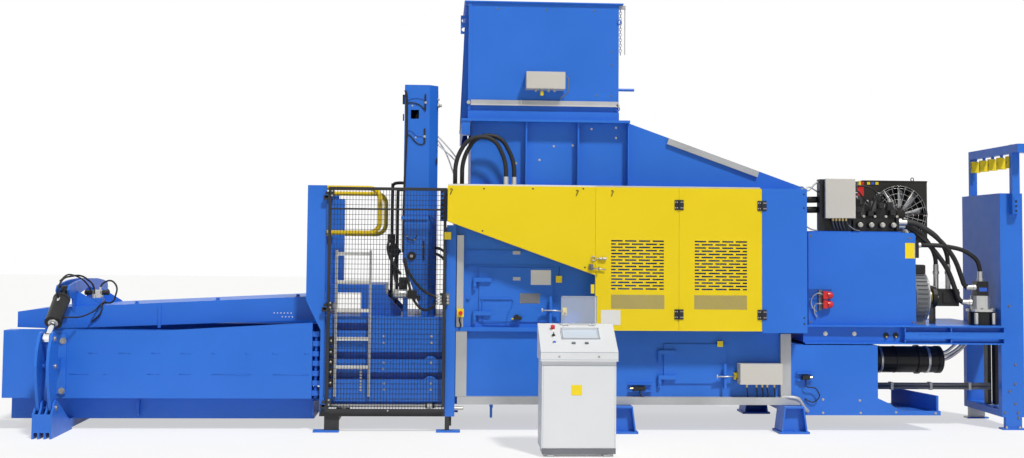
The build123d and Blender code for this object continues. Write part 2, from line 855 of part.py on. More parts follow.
# Welded press body: channel, feet, rear housing and spill chute
foot_outline_x = [
    (-foot_top_half, press_low), (foot_top_half, press_low), (foot_low_half, foot_plate), (
        -foot_low_half, foot_plate,
    ),
]
with BuildPart() as press_body:
    block((press_left, -press_half, press_low), (housing_left, press_half, floor_top))
    for side in (-1, 1):
        outer = side * press_half
        inner = side * bale_half
        block((press_left, min(outer, inner), floor_top), (housing_left, max(outer, inner), press_high))
        block((housing_left, min(outer, inner), floor_top), (housing_right, max(outer, inner), housing_high))
        flange_edge = side * (press_half + 50)
        block((rear_post_right, min(outer, flange_edge), 1000), (-1030, max(outer, flange_edge), press_high))
    block((shaft_right, -bale_half, ram_high + 4), (housing_left, bale_half, press_high))
    block((housing_left, -press_half, housing_low), (housing_right, press_half, floor_top))
    block((housing_left + 20, -bale_half, housing_high - 20), (housing_right, bale_half, housing_high))
    block((1500, -bale_half, floor_top), (1540, bale_half, housing_high - 20))
    tail_near = [(housing_right, 338), (1907, 281), (2006, 210), (tail_right, 210), (tail_right, housing_low),
                 (housing_right, housing_low)]
    slab(side_plane(-press_half + 20), tail_near, 20)
    tail_floor = [
        (housing_right, -press_half), (tail_right, -press_half), (tail_right, -640), (2250, 150),
        (housing_right, 150),
    ]
    slab(Plane.XY.offset(housing_low), tail_floor, 20)
    deflector = [(2238, 160), (2260, 160), (2444, -640), (2422, -640)]
    slab(Plane.XY.offset(housing_low), deflector, 190)
    for x in (-foot_x, foot_x):
        for side in (-1, 1):
            low = min(side * 620, side * 900)
            with BuildSketch(side_plane(side * 820 + 8)) as web_profile:
                with Locations((x, 0)):
                    Polygon(*foot_outline_x)
            extrude(web_profile.sketch, amount=16)
            for edge in (-1, 1):
                top_x = x + edge * foot_top_half
                low_x = x + edge * foot_low_half
                flange_side = [
                    (top_x - 7, press_low), (top_x + 7, press_low), (low_x + 7, foot_plate),
                    (low_x - 7, foot_plate),
                ]
                slab(side_plane(low + 280), flange_side, 280)
            block((x - 155, low, 0), (x + 155, low + 280, foot_plate))
            block((x - foot_top_half, low, press_low - 16), (x + foot_top_half, low + 280, press_low))
            hole_y = side * foot_y
            drill((x, hole_y, -1), (x, hole_y, foot_plate + 1), foot_hole_radius)
    cylinder_seat = cylinder_radius + pin_play
    bar((1499, cylinder_y, cylinder_z), (1541, cylinder_y, cylinder_z), cylinder_seat, mode=Mode.SUBTRACT)
    door_low = (lower_door_left + 40, -press_half - 1, lower_door_low + 40)
    door_high = (lower_door_right - 40, -bale_half + 1, lower_door_high - 40)
    block(door_low, door_high, mode=Mode.SUBTRACT)
    for level in lower_hinge_levels:
        add_door_hinge(lower_door_left - door_arm, level)
save(press_body, "press_body")

with BuildPart() as main_cylinder:
    start = (cylinder_left, cylinder_y, cylinder_z)
    end = (cylinder_right, cylinder_y, cylinder_z)
    bar(start, end, cylinder_radius)
    bar(start, (cylinder_right - 60, cylinder_y, cylinder_z), cylinder_bore, mode=Mode.SUBTRACT)
    for x in (2440,):
        ring(
            (x, cylinder_y, cylinder_z),
            (x + 34, cylinder_y, cylinder_z),
            cylinder_radius + 14,
            cylinder_radius - 1,
        )
    ring(
        (1540, cylinder_y, cylinder_z),
        (1580, cylinder_y, cylinder_z),
        cylinder_radius + 30,
        cylinder_radius - 1,
    )
    ring(
        (cylinder_left, cylinder_y, cylinder_z),
        (cylinder_left + 60, cylinder_y, cylinder_z),
        cylinder_bore + 8,
        ram_rod_radius + 0.5,
    )
save(main_cylinder, "main_cylinder")

ram_half = bale_half - ram_play
rod_end = ram_right + 1850
with BuildPart() as press_ram:
    block((ram_left, -ram_half, ram_low), (ram_right, ram_half, ram_high))
    block(
        (ram_left + 60, -ram_half + 60, ram_low + 60),
        (ram_right + 1, ram_half - 60, ram_high - 60),
        mode=Mode.SUBTRACT,
    )
    bar((ram_left + 60, cylinder_y, cylinder_z), (rod_end, cylinder_y, cylinder_z), ram_rod_radius)
    bar((rod_end, cylinder_y, cylinder_z), (rod_end + 50, cylinder_y, cylinder_z), cylinder_bore - 0.5)
save(press_ram, "press_ram")


# Pre-press chamber: shaft walls, rear housing and blue end panel
anchor_x = 640
anchor_z = 2050
with BuildPart() as chamber:
    for side in (-1, 1):
        outer = side * press_half
        inner = side * bale_half
        block((press_left, min(outer, inner), press_high), (press_right, max(outer, inner), chamber_high))
        panel = side * casing_front
        block((casing_right + seam, min(outer, panel), 1012), (press_right, max(outer, panel), 2455))
        ledge = side * (press_half + 30)
        block(
            (press_left, min(outer, ledge), casing_high - 16),
            (casing_right, max(outer, ledge), casing_high),
        )
    for z in (1650, 1800):
        block((press_left + 140, -press_half - 10, z), (casing_middle - 400, -press_half, z + 12))
    block((press_left, -bale_half, press_high), (shaft_left, bale_half, chamber_high))
    block((press_right - 40, -bale_half, press_high), (press_right, bale_half, chamber_high))
    block((anchor_x - 50, -86, chamber_high - 430), (anchor_x + 50, -66, chamber_high))
    block((anchor_x - 50, 66, chamber_high - 430), (anchor_x + 50, 86, chamber_high))
    for level in hinge_levels:
        add_leaf(casing_right + seam / 2, 1, level, hinge_split + face_play, hinge_height)
    block((anchor_x - 50, -bale_half, chamber_high - 30), (anchor_x + 50, bale_half, chamber_high))
    bar((anchor_x, -86, anchor_z + 60), (anchor_x, 86, anchor_z + 60), 24)
    door_low = (upper_door_left + 40, -press_half - 1, upper_door_low + 40)
    door_high = (upper_door_right - 40, -bale_half + 1, upper_door_high - 60)
    block(door_low, door_high, mode=Mode.SUBTRACT)
    for level in upper_hinge_levels:
        add_door_hinge(upper_door_left - door_arm, level)
    for side in (-1, 1):
        wall = side * bale_half
        boss = side * (bale_half - 12)
        block(
            (flap_pin_x - 45, min(wall, boss), flap_pin_z - 90),
            (flap_pin_x + 45, max(wall, boss), flap_pin_z + 45),
        )
    bar((flap_pin_x, -bale_half, flap_pin_z), (flap_pin_x, bale_half, flap_pin_z), flap_pin_radius)
save(chamber, "chamber")

# Pressing flap, upright at rest behind the shaft
flap_half = bale_half - 14
flap_lug_x = flap_pin_x + 130
flap_lug_z = flap_pin_z + 240
with BuildPart() as prepress_flap:
    low = (flap_pin_x - flap_thick / 2, -flap_half, flap_pin_z + 55)
    block(low, (flap_pin_x + flap_thick / 2, flap_half, flap_pin_z + flap_length))
    for y in (-380, 0, 380):
        bar((flap_pin_x, y - 60, flap_pin_z), (flap_pin_x, y + 60, flap_pin_z), 48)
        block((flap_pin_x - 40, y - 60, flap_pin_z), (flap_pin_x + 40, y + 60, flap_pin_z + 60))
        bore = flap_pin_radius + pin_play
        bar((flap_pin_x, y - 61, flap_pin_z), (flap_pin_x, y + 61, flap_pin_z), bore, mode=Mode.SUBTRACT)
    for y in (-70, 54):
        lug = [
            (flap_pin_x + flap_thick / 2, flap_lug_z - 90),
            (flap_pin_x + flap_thick / 2, flap_lug_z + 90), (flap_lug_x + 40, flap_lug_z),
        ]
        slab(side_plane(y + 16), lug, 16)
save(prepress_flap, "prepress_flap")

anchor_point = (anchor_x, anchor_z + 60)
flap_point = (flap_lug_x, flap_lug_z)
press_run = hypot(anchor_point[0] - flap_point[0], anchor_point[1] - flap_point[1])
press_dir = ((flap_point[0] - anchor_point[0]) / press_run, (flap_point[1] - anchor_point[1]) / press_run)


def along_press(distance):
    return (anchor_point[0] + press_dir[0] * distance, 0, anchor_point[1] + press_dir[1] * distance)


with BuildPart() as prepress_cylinder:
    bar(along_press(20), along_press(press_run - 260), 62)
    bar(along_press(120), along_press(press_run - 259), 42, mode=Mode.SUBTRACT)
    ring(along_press(press_run - 320), along_press(press_run - 260), 50, 30 + pin_play)
    bar((anchor_x, -60, anchor_z + 60), (anchor_x, 60, anchor_z + 60), 50)
    bar((anchor_x, -70, anchor_z + 60), (anchor_x, 70, anchor_z + 60), 24 + pin_play, mode=Mode.SUBTRACT)
save(prepress_cylinder, "prepress_cylinder")

with BuildPart() as prepress_rod:
    bar(along_press(400), along_press(450), 42 - pin_play)
    bar(along_press(450), along_press(press_run - 25), 30)
    bar((flap_point[0], -30, flap_point[1]), (flap_point[0], 30, flap_point[1]), 32)
save(prepress_rod, "prepress_rod")


# Lower hopper with ribs and sloping rear
hood_profile = [
    (shaft_left, chamber_high), (shaft_left, hood_high), (hood_shoulder, hood_high), (hood_end, chamber_high),
]
with BuildPart() as lower_hopper:
    slab(side_plane(hood_half), hood_profile, 2 * hood_half)
    inside = [
        (shaft_left + hood_sheet, chamber_high - 1), (shaft_left + hood_sheet, hood_high - hood_sheet),
        (hood_shoulder - 2, hood_high - hood_sheet), (hood_end - 32, chamber_high - 1),
    ]
    slab(side_plane(hood_half - hood_sheet), inside, 2 * (hood_half - hood_sheet), mode=Mode.SUBTRACT)
    block(
        (shaft_left + hood_sheet, -hood_half + hood_sheet, hood_high - 20),
        (hopper_right - 20, hood_half - hood_sheet, hood_high + 1),
        mode=Mode.SUBTRACT,
    )
    for side in (-1, 1):
        face = side * hood_half
        rib_edge = side * (hood_half + 90)
        for x in (-1847, -1316, hood_shoulder - rib):
            block((x, min(face, rib_edge), chamber_high), (x + rib, max(face, rib_edge), hood_high - 10))
        ledge_edge = side * ledge_half
        block(
            (ledge_left, min(face, ledge_edge), hood_high - 12),
            (hood_shoulder, max(face, ledge_edge), hood_high + 14),
        )
    block((ledge_left, -hood_half, hood_high - 12), (shaft_left, hood_half, hood_high + 14))
    block((ledge_left + 6, -ledge_half + 10, 2980), (shaft_left - 12, -hood_half + 40, hood_high - 12))
    block((ledge_left + 6, hood_half - 40, 2980), (shaft_left - 12, ledge_half - 10, hood_high - 12))
    block((ledge_left + 6, -hood_half + 40, 2980), (ledge_left + 18, hood_half - 40, hood_high - 12))
save(lower_hopper, "lower_hopper")

hopper_base = hood_high + 14
bar_low_z = 3290
bar_high_z = 3342
with BuildPart() as upper_hopper:
    low = (hopper_left, -hopper_half, hopper_base)
    high = (hopper_right, hopper_half, hopper_high)
    block(low, high)
    low = (hopper_left + hopper_sheet, -hopper_half + hopper_sheet, hopper_base - 1)
    high = (hopper_right - hopper_sheet, hopper_half - hopper_sheet, hopper_high + 1)
    block(low, high, mode=Mode.SUBTRACT)
    with BuildSketch(Plane.XY.offset(hopper_high)) as rim:
        with Locations(((hopper_left + hopper_right) / 2, 0)):
            Rectangle(hopper_right - hopper_left + 90, 2 * hopper_half + 50)
            Rectangle(
                hopper_right - hopper_left - 2 * hopper_sheet,
                2 * (hopper_half - hopper_sheet),
                mode=Mode.SUBTRACT,
            )
    extrude(rim.sketch, amount=12)
    with BuildSketch(Plane.XY.offset(hopper_base)) as foot:
        with Locations(((hopper_left + hopper_right) / 2, 0)):
            Rectangle(hopper_right - hopper_left, 2 * hopper_half + 80)
            Rectangle(
                hopper_right - hopper_left - 2 * hopper_sheet,
                2 * (hopper_half - hopper_sheet),
                mode=Mode.SUBTRACT,
            )
    extrude(foot.sketch, amount=85)
    for side in (-1, 1):
        gusset = [
            (hopper_left, hopper_base), (hopper_left - 65, hopper_base),
            (hopper_left - 20, hopper_high - 10), (hopper_left, hopper_high - 10),
        ]
        slab(side_plane(side * 520 + 8), gusset, 16)
    lug_low = hopper_high - 308
    lug_high = hopper_high - 118
    lug_end = hopper_left - 80
    lug = [
        (hopper_left - 10, lug_low), (lug_end, lug_low), (lug_end, lug_high),
        (hopper_left - 10, lug_high),
    ]
    slab(side_plane(-520 + 12), lug, 24)
    for z in (lug_low + 45, lug_high - 55):
        bar((hopper_left - 48, -533, z), (hopper_left - 48, -507, z), 22, mode=Mode.SUBTRACT)
    stub_z = hopper_base + 343
    bar((hopper_right - 4, -500, stub_z), (hopper_right + 184, -500, stub_z), 15)
save(upper_hopper, "upper_hopper")


# Galvanised bars and cable trays
tray_depth = 45
tray_face = -press_half - tray_depth
slope_dir = atan2(hood_high - chamber_high, hood_end - hood_shoulder)
with BuildPart() as cable_trays:
    block((-2531, tray_face, press_high + 1), (-2463, -press_half, 1960))
    block((-2534, tray_face, 353), (-2423, -press_half, 999))
    block((-2515, tray_face - 25, 276), (955, -press_half, 352))
    block((762, tray_face, 353), (868, -press_half, 990))
    block((hopper_left + 30, -hopper_half - 30, bar_low_z), (hopper_right - 10, -hopper_half, bar_high_z))
    bar_start_x = -366
    bar_end_x = 575
    drop = tan(slope_dir)
    top_start = hood_high - (bar_start_x - hood_shoulder) * drop
    top_end = hood_high - (bar_end_x - hood_shoulder) * drop
    slope_bar = [
        (bar_start_x, top_start - 4), (bar_end_x, top_end - 4), (bar_end_x - 20, top_end - 64),
        (bar_start_x - 20, top_start - 64),
    ]
    slab(side_plane(-hood_half), slope_bar, 30)
save(cable_trays, "cable_trays")


# Yellow casing: fixed panel and two folding doors
casing_depth = casing_front - press_half
panel_outline = [
    (casing_left, casing_high), (casing_middle - seam, casing_high), (casing_middle - seam, casing_slope_end),
    (casing_left, casing_corner),
]
with BuildPart() as casing_panel:
    slab(side_plane(-press_half - 30), panel_outline, casing_depth - 30)
    fold = casing_sheet
    panel_inside = [
        (casing_left + fold, casing_high - fold), (casing_middle - seam - fold, casing_high - fold),
        (casing_middle - seam - fold, casing_slope_end + 2 * fold),
        (casing_left + fold, casing_corner + fold),
    ]
    slab(side_plane(-press_half - 29), panel_inside, casing_depth - 29 - casing_sheet, mode=Mode.SUBTRACT)
    block(
        (casing_left, -casing_front + 60, casing_high),
        (casing_right, -casing_front + 75, casing_high + 18),
    )
save(casing_panel, "casing_panel")



def casing_door(left, right):
    with BuildPart() as door:
        with BuildSketch(side_plane(-casing_front + casing_sheet)) as sheet:
            with Locations(((left + right) / 2, (casing_low + casing_high) / 2)):
                Rectangle(right - left, casing_high - casing_low)
            first_x = left + slot_margin + slot_length / 2
            for row in range(slot_rows):
                z = slot_first_z - row * slot_pitch
                whole = range(4) if row % 2 == 0 else range(3)
                shift = 0 if row % 2 == 0 else slot_step / 2
                with Locations(*[(first_x + shift + n * slot_step, z) for n in whole]):
                    Rectangle(slot_length, slot_width, mode=Mode.SUBTRACT)
                if row % 2 == 1:
                    short = slot_step / 2 - (slot_step - slot_length)
                    ends = (
                        first_x - slot_length / 2 + short / 2,
                        first_x + 3 * slot_step + slot_length / 2 - short / 2,
                    )
                    with Locations(*[(x, z) for x in ends]):
                        Rectangle(short, slot_width, mode=Mode.SUBTRACT)
        extrude(sheet.sketch, amount=casing_sheet)
        back = -casing_front + casing_sheet
        for x in (left, right - casing_sheet):
            block((x, back, casing_low), (x + casing_sheet, back + 26, casing_high))
        for z in (casing_low, casing_high - casing_sheet):
            block((left + casing_sheet, back, z), (right - casing_sheet, back + 26, z + casing_sheet))
    return door


casing_door_left = casing_door(casing_middle, casing_seam - seam / 2)
casing_door_right = casing_door(casing_seam + seam / 2, casing_right)
with casing_door_left:
    for level in hinge_levels:
        add_leaf(casing_seam, -1, level, 0, hinge_split)
with casing_door_right:
    for level in hinge_levels:
        add_leaf(casing_seam, 1, level, hinge_split + face_play, hinge_height)
        add_leaf(casing_right + seam / 2, -1, level, 0, hinge_split)
save(casing_door_left, "casing_door_left")
save(casing_door_right, "casing_door_right")


# Inspection doors with hinge arms, and their latches
def inspection_door(left, right, low, high, levels):
    pin_x = left - door_arm
    face = -press_half - face_play - door_plate
    with BuildPart() as door:
        block((left, face, low), (right, -press_half - face_play, high))
        for level in levels:
            top = level + door_knuckle
            low_y = door_pin_y - door_knuckle_radius
            high_y = door_pin_y + door_knuckle_radius - 1
            arm_end = left + door_arm_reach
            block((pin_x, low_y, top - door_arm_height), (arm_end, high_y, top))
            block((left, face, level - 1), (arm_end + 1, high_y + 1, top + 1), mode=Mode.SUBTRACT)
            block((left, face, max(low, level - 1)), (arm_end + 1, face + door_plate, top + 1))
            bar((pin_x, door_pin_y, level + face_play), (pin_x, door_pin_y, top), door_knuckle_radius)
            bore = door_pin_radius + pin_play
            bar((pin_x, door_pin_y, level), (pin_x, door_pin_y, top + 1), bore, mode=Mode.SUBTRACT)
    return door


inspection_door_upper = inspection_door(
    upper_door_left, upper_door_right, upper_door_low, upper_door_high, upper_hinge_levels
)
save(inspection_door_upper, "inspection_door_upper")
inspection_door_lower = inspection_door(
    lower_door_left, lower_door_right, lower_door_low, lower_door_high, lower_hinge_levels
)
save(inspection_door_lower, "inspection_door_lower")


def door_latch(x, z, length):
    front = -press_half - face_play - door_plate
    with BuildPart() as latch:
        bar((x, front - pin_play, z), (x, front - 40, z), latch_radius)
        block((x - 12, front - 54, z - length / 2), (x + 12, front - 38, z + length / 2))
        block((x - 70, front - 52, z - 10), (x + 90, front - 40, z + 10))
    return latch


save(door_latch(upper_door_right - 25, 1215, 280), "latch_upper")
save(door_latch(lower_door_right - 25, 560, 250), "latch_lower")


# Hydraulic tank, rounded at its rear top corner
with BuildPart() as hydraulic_tank:
    with BuildSketch(side_plane(tank_back)) as tank_profile:
        with Locations(((tank_left + tank_right) / 2, (tank_low + tank_high) / 2)):
            Rectangle(tank_right - tank_left, tank_high - tank_low)
        rear_corner = tank_profile.vertices().group_by(Axis.X)[-1].sort_by(Axis.Y)[-1]
        fillet(rear_corner, tank_corner)
    extrude(tank_profile.sketch, amount=tank_back - tank_front)
    block((tank_left + 60, tank_front + 60, tank_high), (tank_right - 120, tank_back - 60, tank_high + 12))
save(hydraulic_tank, "hydraulic_tank")


# Platform under the power unit
platform_right = stand_left
with BuildPart() as motor_platform:
    block((platform_left, -platform_half, tank_low - flange), (platform_right, platform_half, tank_low))
    for side in (-1, 1):
        edge = side * platform_half
        web_face = side * (platform_half - 70)
        web_back = side * (platform_half - 70 - beam_web)
        block(
            (platform_left, min(web_face, web_back), platform_low),
            (platform_right, max(web_face, web_back), tank_low - flange),
        )
        block(
            (platform_left, min(edge, web_back), platform_low),
            (platform_right, max(edge, web_back), platform_low + flange),
        )
        strip = side * (platform_half - 8)
        block((2075, min(edge, strip), 943), (platform_right - 8, max(edge, strip), 1010))
        for x in (2075, 2560, platform_right - 20):
            block(
                (x, min(web_face, strip), platform_low + flange),
                (x + 12, max(web_face, strip), tank_low - flange),
            )
    for x in (platform_left, 1500, 2300, platform_right - 14):
        block(
            (x, -platform_half + 70, platform_low + flange),
            (x + 14, platform_half - 70, tank_low - flange),
        )
    for x in (1200, 1600):
        for side in (-1, 1):
            block((x, side * 610 - 40, housing_high), (x + 90, side * 610 + 40, platform_low))
save(motor_platform, "motor_platform")


# Oil cooler with fan ring and wire guard
with BuildPart() as oil_cooler:
    block((cooler_left, cooler_front, cooler_low), (cooler_right, cooler_front + cooler_depth, cooler_high))
    for x in (cooler_left + 15, 2180):
        block((x, cooler_front + 60, tank_low), (x + 50, cooler_front + 120, cooler_low))
    bar(
        (fan_x, cooler_front - 1, fan_z),
        (fan_x, cooler_front + 120, fan_z),
        fan_radius + 12,
        mode=Mode.SUBTRACT,
    )
    ring((fan_x, cooler_front - 30, fan_z), (fan_x, cooler_front, fan_z), fan_radius + 30, fan_radius + 12)
    bar((fan_x, cooler_front + 20, fan_z), (fan_x, cooler_front + 121, fan_z), 14)
    with BuildSketch(side_plane(cooler_front - 22)) as wire_guard:
        with Locations((fan_x, fan_z)):
            RegularPolygon(70, 12)
            with PolarLocations(fan_radius / 2 + 25, 6):
                Rectangle(fan_radius - 25, 12)
    extrude(wire_guard.sketch, amount=8)
save(oil_cooler, "oil_cooler")

with BuildPart() as cooler_fan:
    bar((fan_x, cooler_front + 24, fan_z), (fan_x, cooler_front + 76, fan_z), fan_hub)
    for n in range(5):
        outward = (cos(radians(72 * n)), 0, sin(radians(72 * n)))
        with BuildSketch(Plane(origin=(fan_x, cooler_front + 50, fan_z), z_dir=outward)) as root:
            Rectangle(8, 50, rotation=35)
        extrude(root.sketch, amount=fan_radius - 6)
    bar(
        (fan_x, cooler_front + 20, fan_z),
        (fan_x, cooler_front + 80, fan_z),
        14 + pin_play,
        mode=Mode.SUBTRACT,
    )
save(cooler_fan, "cooler_fan")


# Valve block with its stacked valves
valve_left = 1615
valve_right = 2090
valve_top = tank_high + 150
with BuildPart() as valve_block:
    block((valve_left, -480, tank_high + 12), (valve_right, -260, valve_top))
    for n, height in enumerate((150, 110, 190, 120)):
        x = valve_left + 20 + n * 118
        block((x, -450, valve_top), (x + 76, -290, valve_top + height))
        bar((x + 38, -520, tank_high + 80), (x + 38, -480, tank_high + 80), 30)
save(valve_block, "valve_block")


# Electric motor, coupling and pump on one shaft
motor_feet = tank_low
with BuildPart() as drive_motor:
    bar((motor_left, shaft_y, shaft_z), (motor_right, shaft_y, shaft_z), motor_radius)
    bar((motor_right, shaft_y, shaft_z), (bell_right, shaft_y, shaft_z), 190)
    block((motor_left + 10, shaft_y - 180, motor_feet), (motor_right - 10, shaft_y + 180, shaft_z - 180))
    bar((bell_right, shaft_y, shaft_z), (bell_right + 40, shaft_y, shaft_z), 24)
save(drive_motor, "drive_motor")

with BuildPart() as pump_coupling:
    ring(
        (bell_right + 0.5, shaft_y, shaft_z),
        (coupling_right - 0.5, shaft_y, shaft_z),
        coupling_radius,
        24 + pin_play,
    )
    with Locations((bell_right + 40, shaft_y, shaft_z + coupling_radius)):
        Box(30, 40, 12)
save(pump_coupling, "pump_coupling")

with BuildPart() as hydraulic_pump:
    bar((coupling_right - 40, shaft_y, shaft_z), (coupling_right, shaft_y, shaft_z), 24)
    bar((coupling_right, shaft_y, shaft_z), (coupling_right + 40, shaft_y, shaft_z), 120)
    block((coupling_right + 40, shaft_y - 95, shaft_z - 95), (pump_right, shaft_y + 95, shaft_z + 85))
    for x in pump_ports:
        bar((x, shaft_y, shaft_z + 85), (x, shaft_y, port_high), 27)
    block((coupling_right + 10, shaft_y - 60, tank_low), (coupling_right + 34, shaft_y + 60, shaft_z - 90))
save(hydraulic_pump, "hydraulic_pump")

with BuildPart() as return_filter:
    bar((filter_x, filter_y, tank_low), (filter_x, filter_y, 1216), 128)
    bar((filter_x, filter_y, 1216), (filter_x, filter_y, 1240), 146)
    bar((filter_x, filter_y, 1240), (filter_x, filter_y, 1380), 98)
    block((filter_x - 62, filter_y - 60, 1380), (filter_x + 62, filter_y + 60, 1530))
save(return_filter, "return_filter")


# Hoses, held at both ends
with BuildPart() as hydraulic_hoses:
    hose(
        [
            (-2560, -860, 2450), (-2560, -860, 2650), (-2400, -855, 2830), (-2180, -845, 2830),
            (-2050, -835, 2640), (-2050, -835, 2450),
        ],
        24,
    )
    hose(
        [
            (-2490, -800, 2450), (-2490, -800, 2660), (-2320, -795, 2840), (-2110, -790, 2840),
            (-1965, -785, 2650), (-1965, -785, 2450),
        ],
        24,
    )
    hose(
        [
            (2090, -455, 2140), (2280, -455, 2140), (2520, -465, 1990), (2700, -470, 1780),
            (2810, -462, 1465), (2923, -462, 1465),
        ],
        25,
    )
    hose(
        [
            (2090, -400, 2100), (2230, -400, 2100), (2460, -430, 1900), (2640, -440, 1660),
            (2760, -440, 1310), (2887, -440, 1310),
        ],
        25,
    )
    hose(
        [
            (2090, -350, 2140), (2240, -350, 2140), (2440, -330, 1990), (2565, -300, 1800),
            (2565, -300, 1600),
        ],
        23,
    )
    hose(
        [
            (2090, -300, 2160), (2340, -300, 2160), (2590, -300, 2000), (2695, -300, 1820),
            (2695, -300, 1600),
        ],
        23,
    )
    hose(
        [
            (2232, -470, 1905), (2560, -470, 1905), (2800, -462, 1860), (2950, -448, 1760),
            (2985, -440, 1650), (2985, -440, 1530),
        ],
        23,
    )
save(hydraulic_hoses, "hydraulic_hoses")


# Wire stand with open lower part
with BuildPart() as wire_stand:
    block((stand_left, stand_near, stand_low), (stand_right, stand_far, stand_high))
    block(
        (stand_left + stand_sheet, stand_near + stand_leg, 900),
        (stand_right + 1, stand_far - stand_leg, stand_high - stand_sheet),
        mode=Mode.SUBTRACT,
    )
    block(
        (stand_left - 1, stand_near + stand_leg, 200),
        (stand_right + 1, stand_far - stand_leg, 870),
        mode=Mode.SUBTRACT,
    )
    block((stand_left + 40, stand_near, 0), (stand_right - 30, stand_near + 60, stand_low))
    block((stand_left + 40, stand_far - 60, 0), (stand_right - 30, stand_far, stand_low))
    block((stand_left, stand_near - 20, 0), (stand_right, stand_near + 90, 16))
    block((stand_left, stand_far - 90, 0), (stand_right, stand_far + 20, 16))
save(wire_stand, "wire_stand")

pulley_rows = [pulley_first_y - n * pulley_pitch for n in range(pulley_count)]
bar_far = stand_far + 40
bar_near = -810
guard_outline = [
    (pulley_x - 50, bar_low - 28), (pulley_x - 50, pulley_z - 60), (pulley_x + 50, pulley_z - 60),
    (pulley_x + 30, pulley_z - 20), (pulley_x + 48, pulley_z + 20), (pulley_x + 20, bar_low - 28),
]
with BuildPart() as pulley_frame:
    block((pulley_x - 35, bar_near, bar_low), (pulley_x + 35, bar_far, bar_high))
    block((pulley_x - 25, stand_near - 68, 2235), (pulley_x + 55, stand_near, bar_high + 4))
    block((pulley_x - 35, stand_far, 2235), (pulley_x + 45, bar_far, bar_high))
    block((pulley_x + 35, bar_near, bar_low), (pulley_x + 110, -640, bar_high))
    for y in pulley_rows:
        half = pulley_thick / 2 + 3
        for start in (y + half + guard_sheet, y - half):
            slab(side_plane(start), guard_outline, guard_sheet)
        block((pulley_x - 50, y - half, bar_low - 34), (pulley_x + 20, y + half, bar_low - 28))
        block((pulley_x - 12, y - half, bar_low - 30), (pulley_x + 12, y + half, bar_low))
        bar((pulley_x, y - half, pulley_z), (pulley_x, y + half, pulley_z), pulley_bore)
save(pulley_frame, "pulley_frame")

for n, y in enumerate(pulley_rows):
    with BuildPart() as pulley:
        near = (pulley_x, y - pulley_thick / 2, pulley_z)
        far = (pulley_x, y + pulley_thick / 2, pulley_z)
        ring(near, far, pulley_radius, pulley_bore + pin_play)
    save(pulley, f"pulley_{n + 1}")


# Junction boxes and the emergency stop's housing
box_depth = 150
unit_box_left = 1290
unit_box_right = 1600
unit_box_high = 2582
stop_x = -2491
stop_z = 1184
stop_shaft = 12
stop_head = 22
stop_half_width = 33
stop_y = -press_half - tray_depth
stop_front = stop_y - 62
with BuildPart() as junction_boxes:
    block((-1849, -hopper_half - box_depth, 3451), (-1457, -hopper_half, 3621))
    block((323, -press_half - box_depth, 489), (752, -press_half, 693))
    block((unit_box_left, tank_front + 20, 2180), (unit_box_right, tank_front + 200, unit_box_high))
    arm_low = (unit_box_left - 50, tank_front + 60, tank_high + 12)
    block(arm_low, (unit_box_left, tank_front + 160, unit_box_high))
    low = (stop_x - stop_half_width, stop_front, stop_z - 41)
    block(low, (stop_x + stop_half_width, stop_y, stop_z + 41))
    bore = stop_shaft + pin_play
    bar((stop_x, stop_front - 1, stop_z), (stop_x, stop_front + 26, stop_z), bore, mode=Mode.SUBTRACT)
save(junction_boxes, "junction_boxes")

with BuildPart() as frame_stop_button:
    bar((stop_x, stop_front + 16, stop_z), (stop_x, stop_front - 14, stop_z), stop_shaft)
    bar((stop_x, stop_front - 14, stop_z), (stop_x, stop_front - 34, stop_z), stop_head)
save(frame_stop_button, "frame_stop_button")


# Console: cabinet, lid and switches on the sloping panel
panel_rise = console_high - console_lip_high
panel_run = panel_back - panel_front
panel_tilt = atan2(panel_rise, panel_run)
panel_normal = Vector(0, -sin(panel_tilt), cos(panel_tilt))


def on_panel(x, share, height=0):
    """Point on the sloping panel: share 0 is its front edge and 1 its rear edge."""
    base = Vector(x, panel_front + panel_run * share, console_lip_high + panel_rise * share)
    return base + panel_normal * height


switch_x = console_x - 215
switches = ((0.80, 12), (0.55, 14), (0.32, 14))
with BuildPart() as console_cabinet:
    head = [
        (panel_front, console_lip_low), (panel_front, console_lip_high), (panel_back, console_high),
        (console_back, console_high), (console_back, console_lip_low),
    ]
    slab(cross_plane(console_x - console_lip), head, 2 * console_lip)
    block(
        (console_x - console_half, console_front, 60),
        (console_x + console_half, console_back, console_lip_low),
    )
    block(
        (console_x - console_half + 20, console_front + 25, 0),
        (console_x + console_half - 20, console_back - 25, 60),
    )
    for x in (console_x - 250, console_x + 250):
        block((x - 30, console_front - 6, 0), (x + 30, console_front + 30, 22))
    screen_plane = Plane(origin=on_panel(console_x + 30, 0.62), x_dir=(1, 0, 0), z_dir=panel_normal)
    with BuildSketch(screen_plane) as screen_frame:
        Rectangle(350, 165)
        Rectangle(310, 125, mode=Mode.SUBTRACT)
    extrude(screen_frame.sketch, amount=12)
    for x in (console_x - 90, console_x + 150):
        bar(on_panel(x - 26, 0.93, 9), on_panel(x - 16, 0.93, 9), 9.5)
        bar(on_panel(x + 16, 0.93, 9), on_panel(x + 26, 0.93, 9), 9.5)
        bar(on_panel(x - 26, 0.93, 9), on_panel(x + 26, 0.93, 9), 3)
    for share, radius in switches:
        bar(
            on_panel(switch_x, share, -26),
            on_panel(switch_x, share, 1),
            radius + pin_play,
            mode=Mode.SUBTRACT,
        )
save(console_cabinet, "console_cabinet")

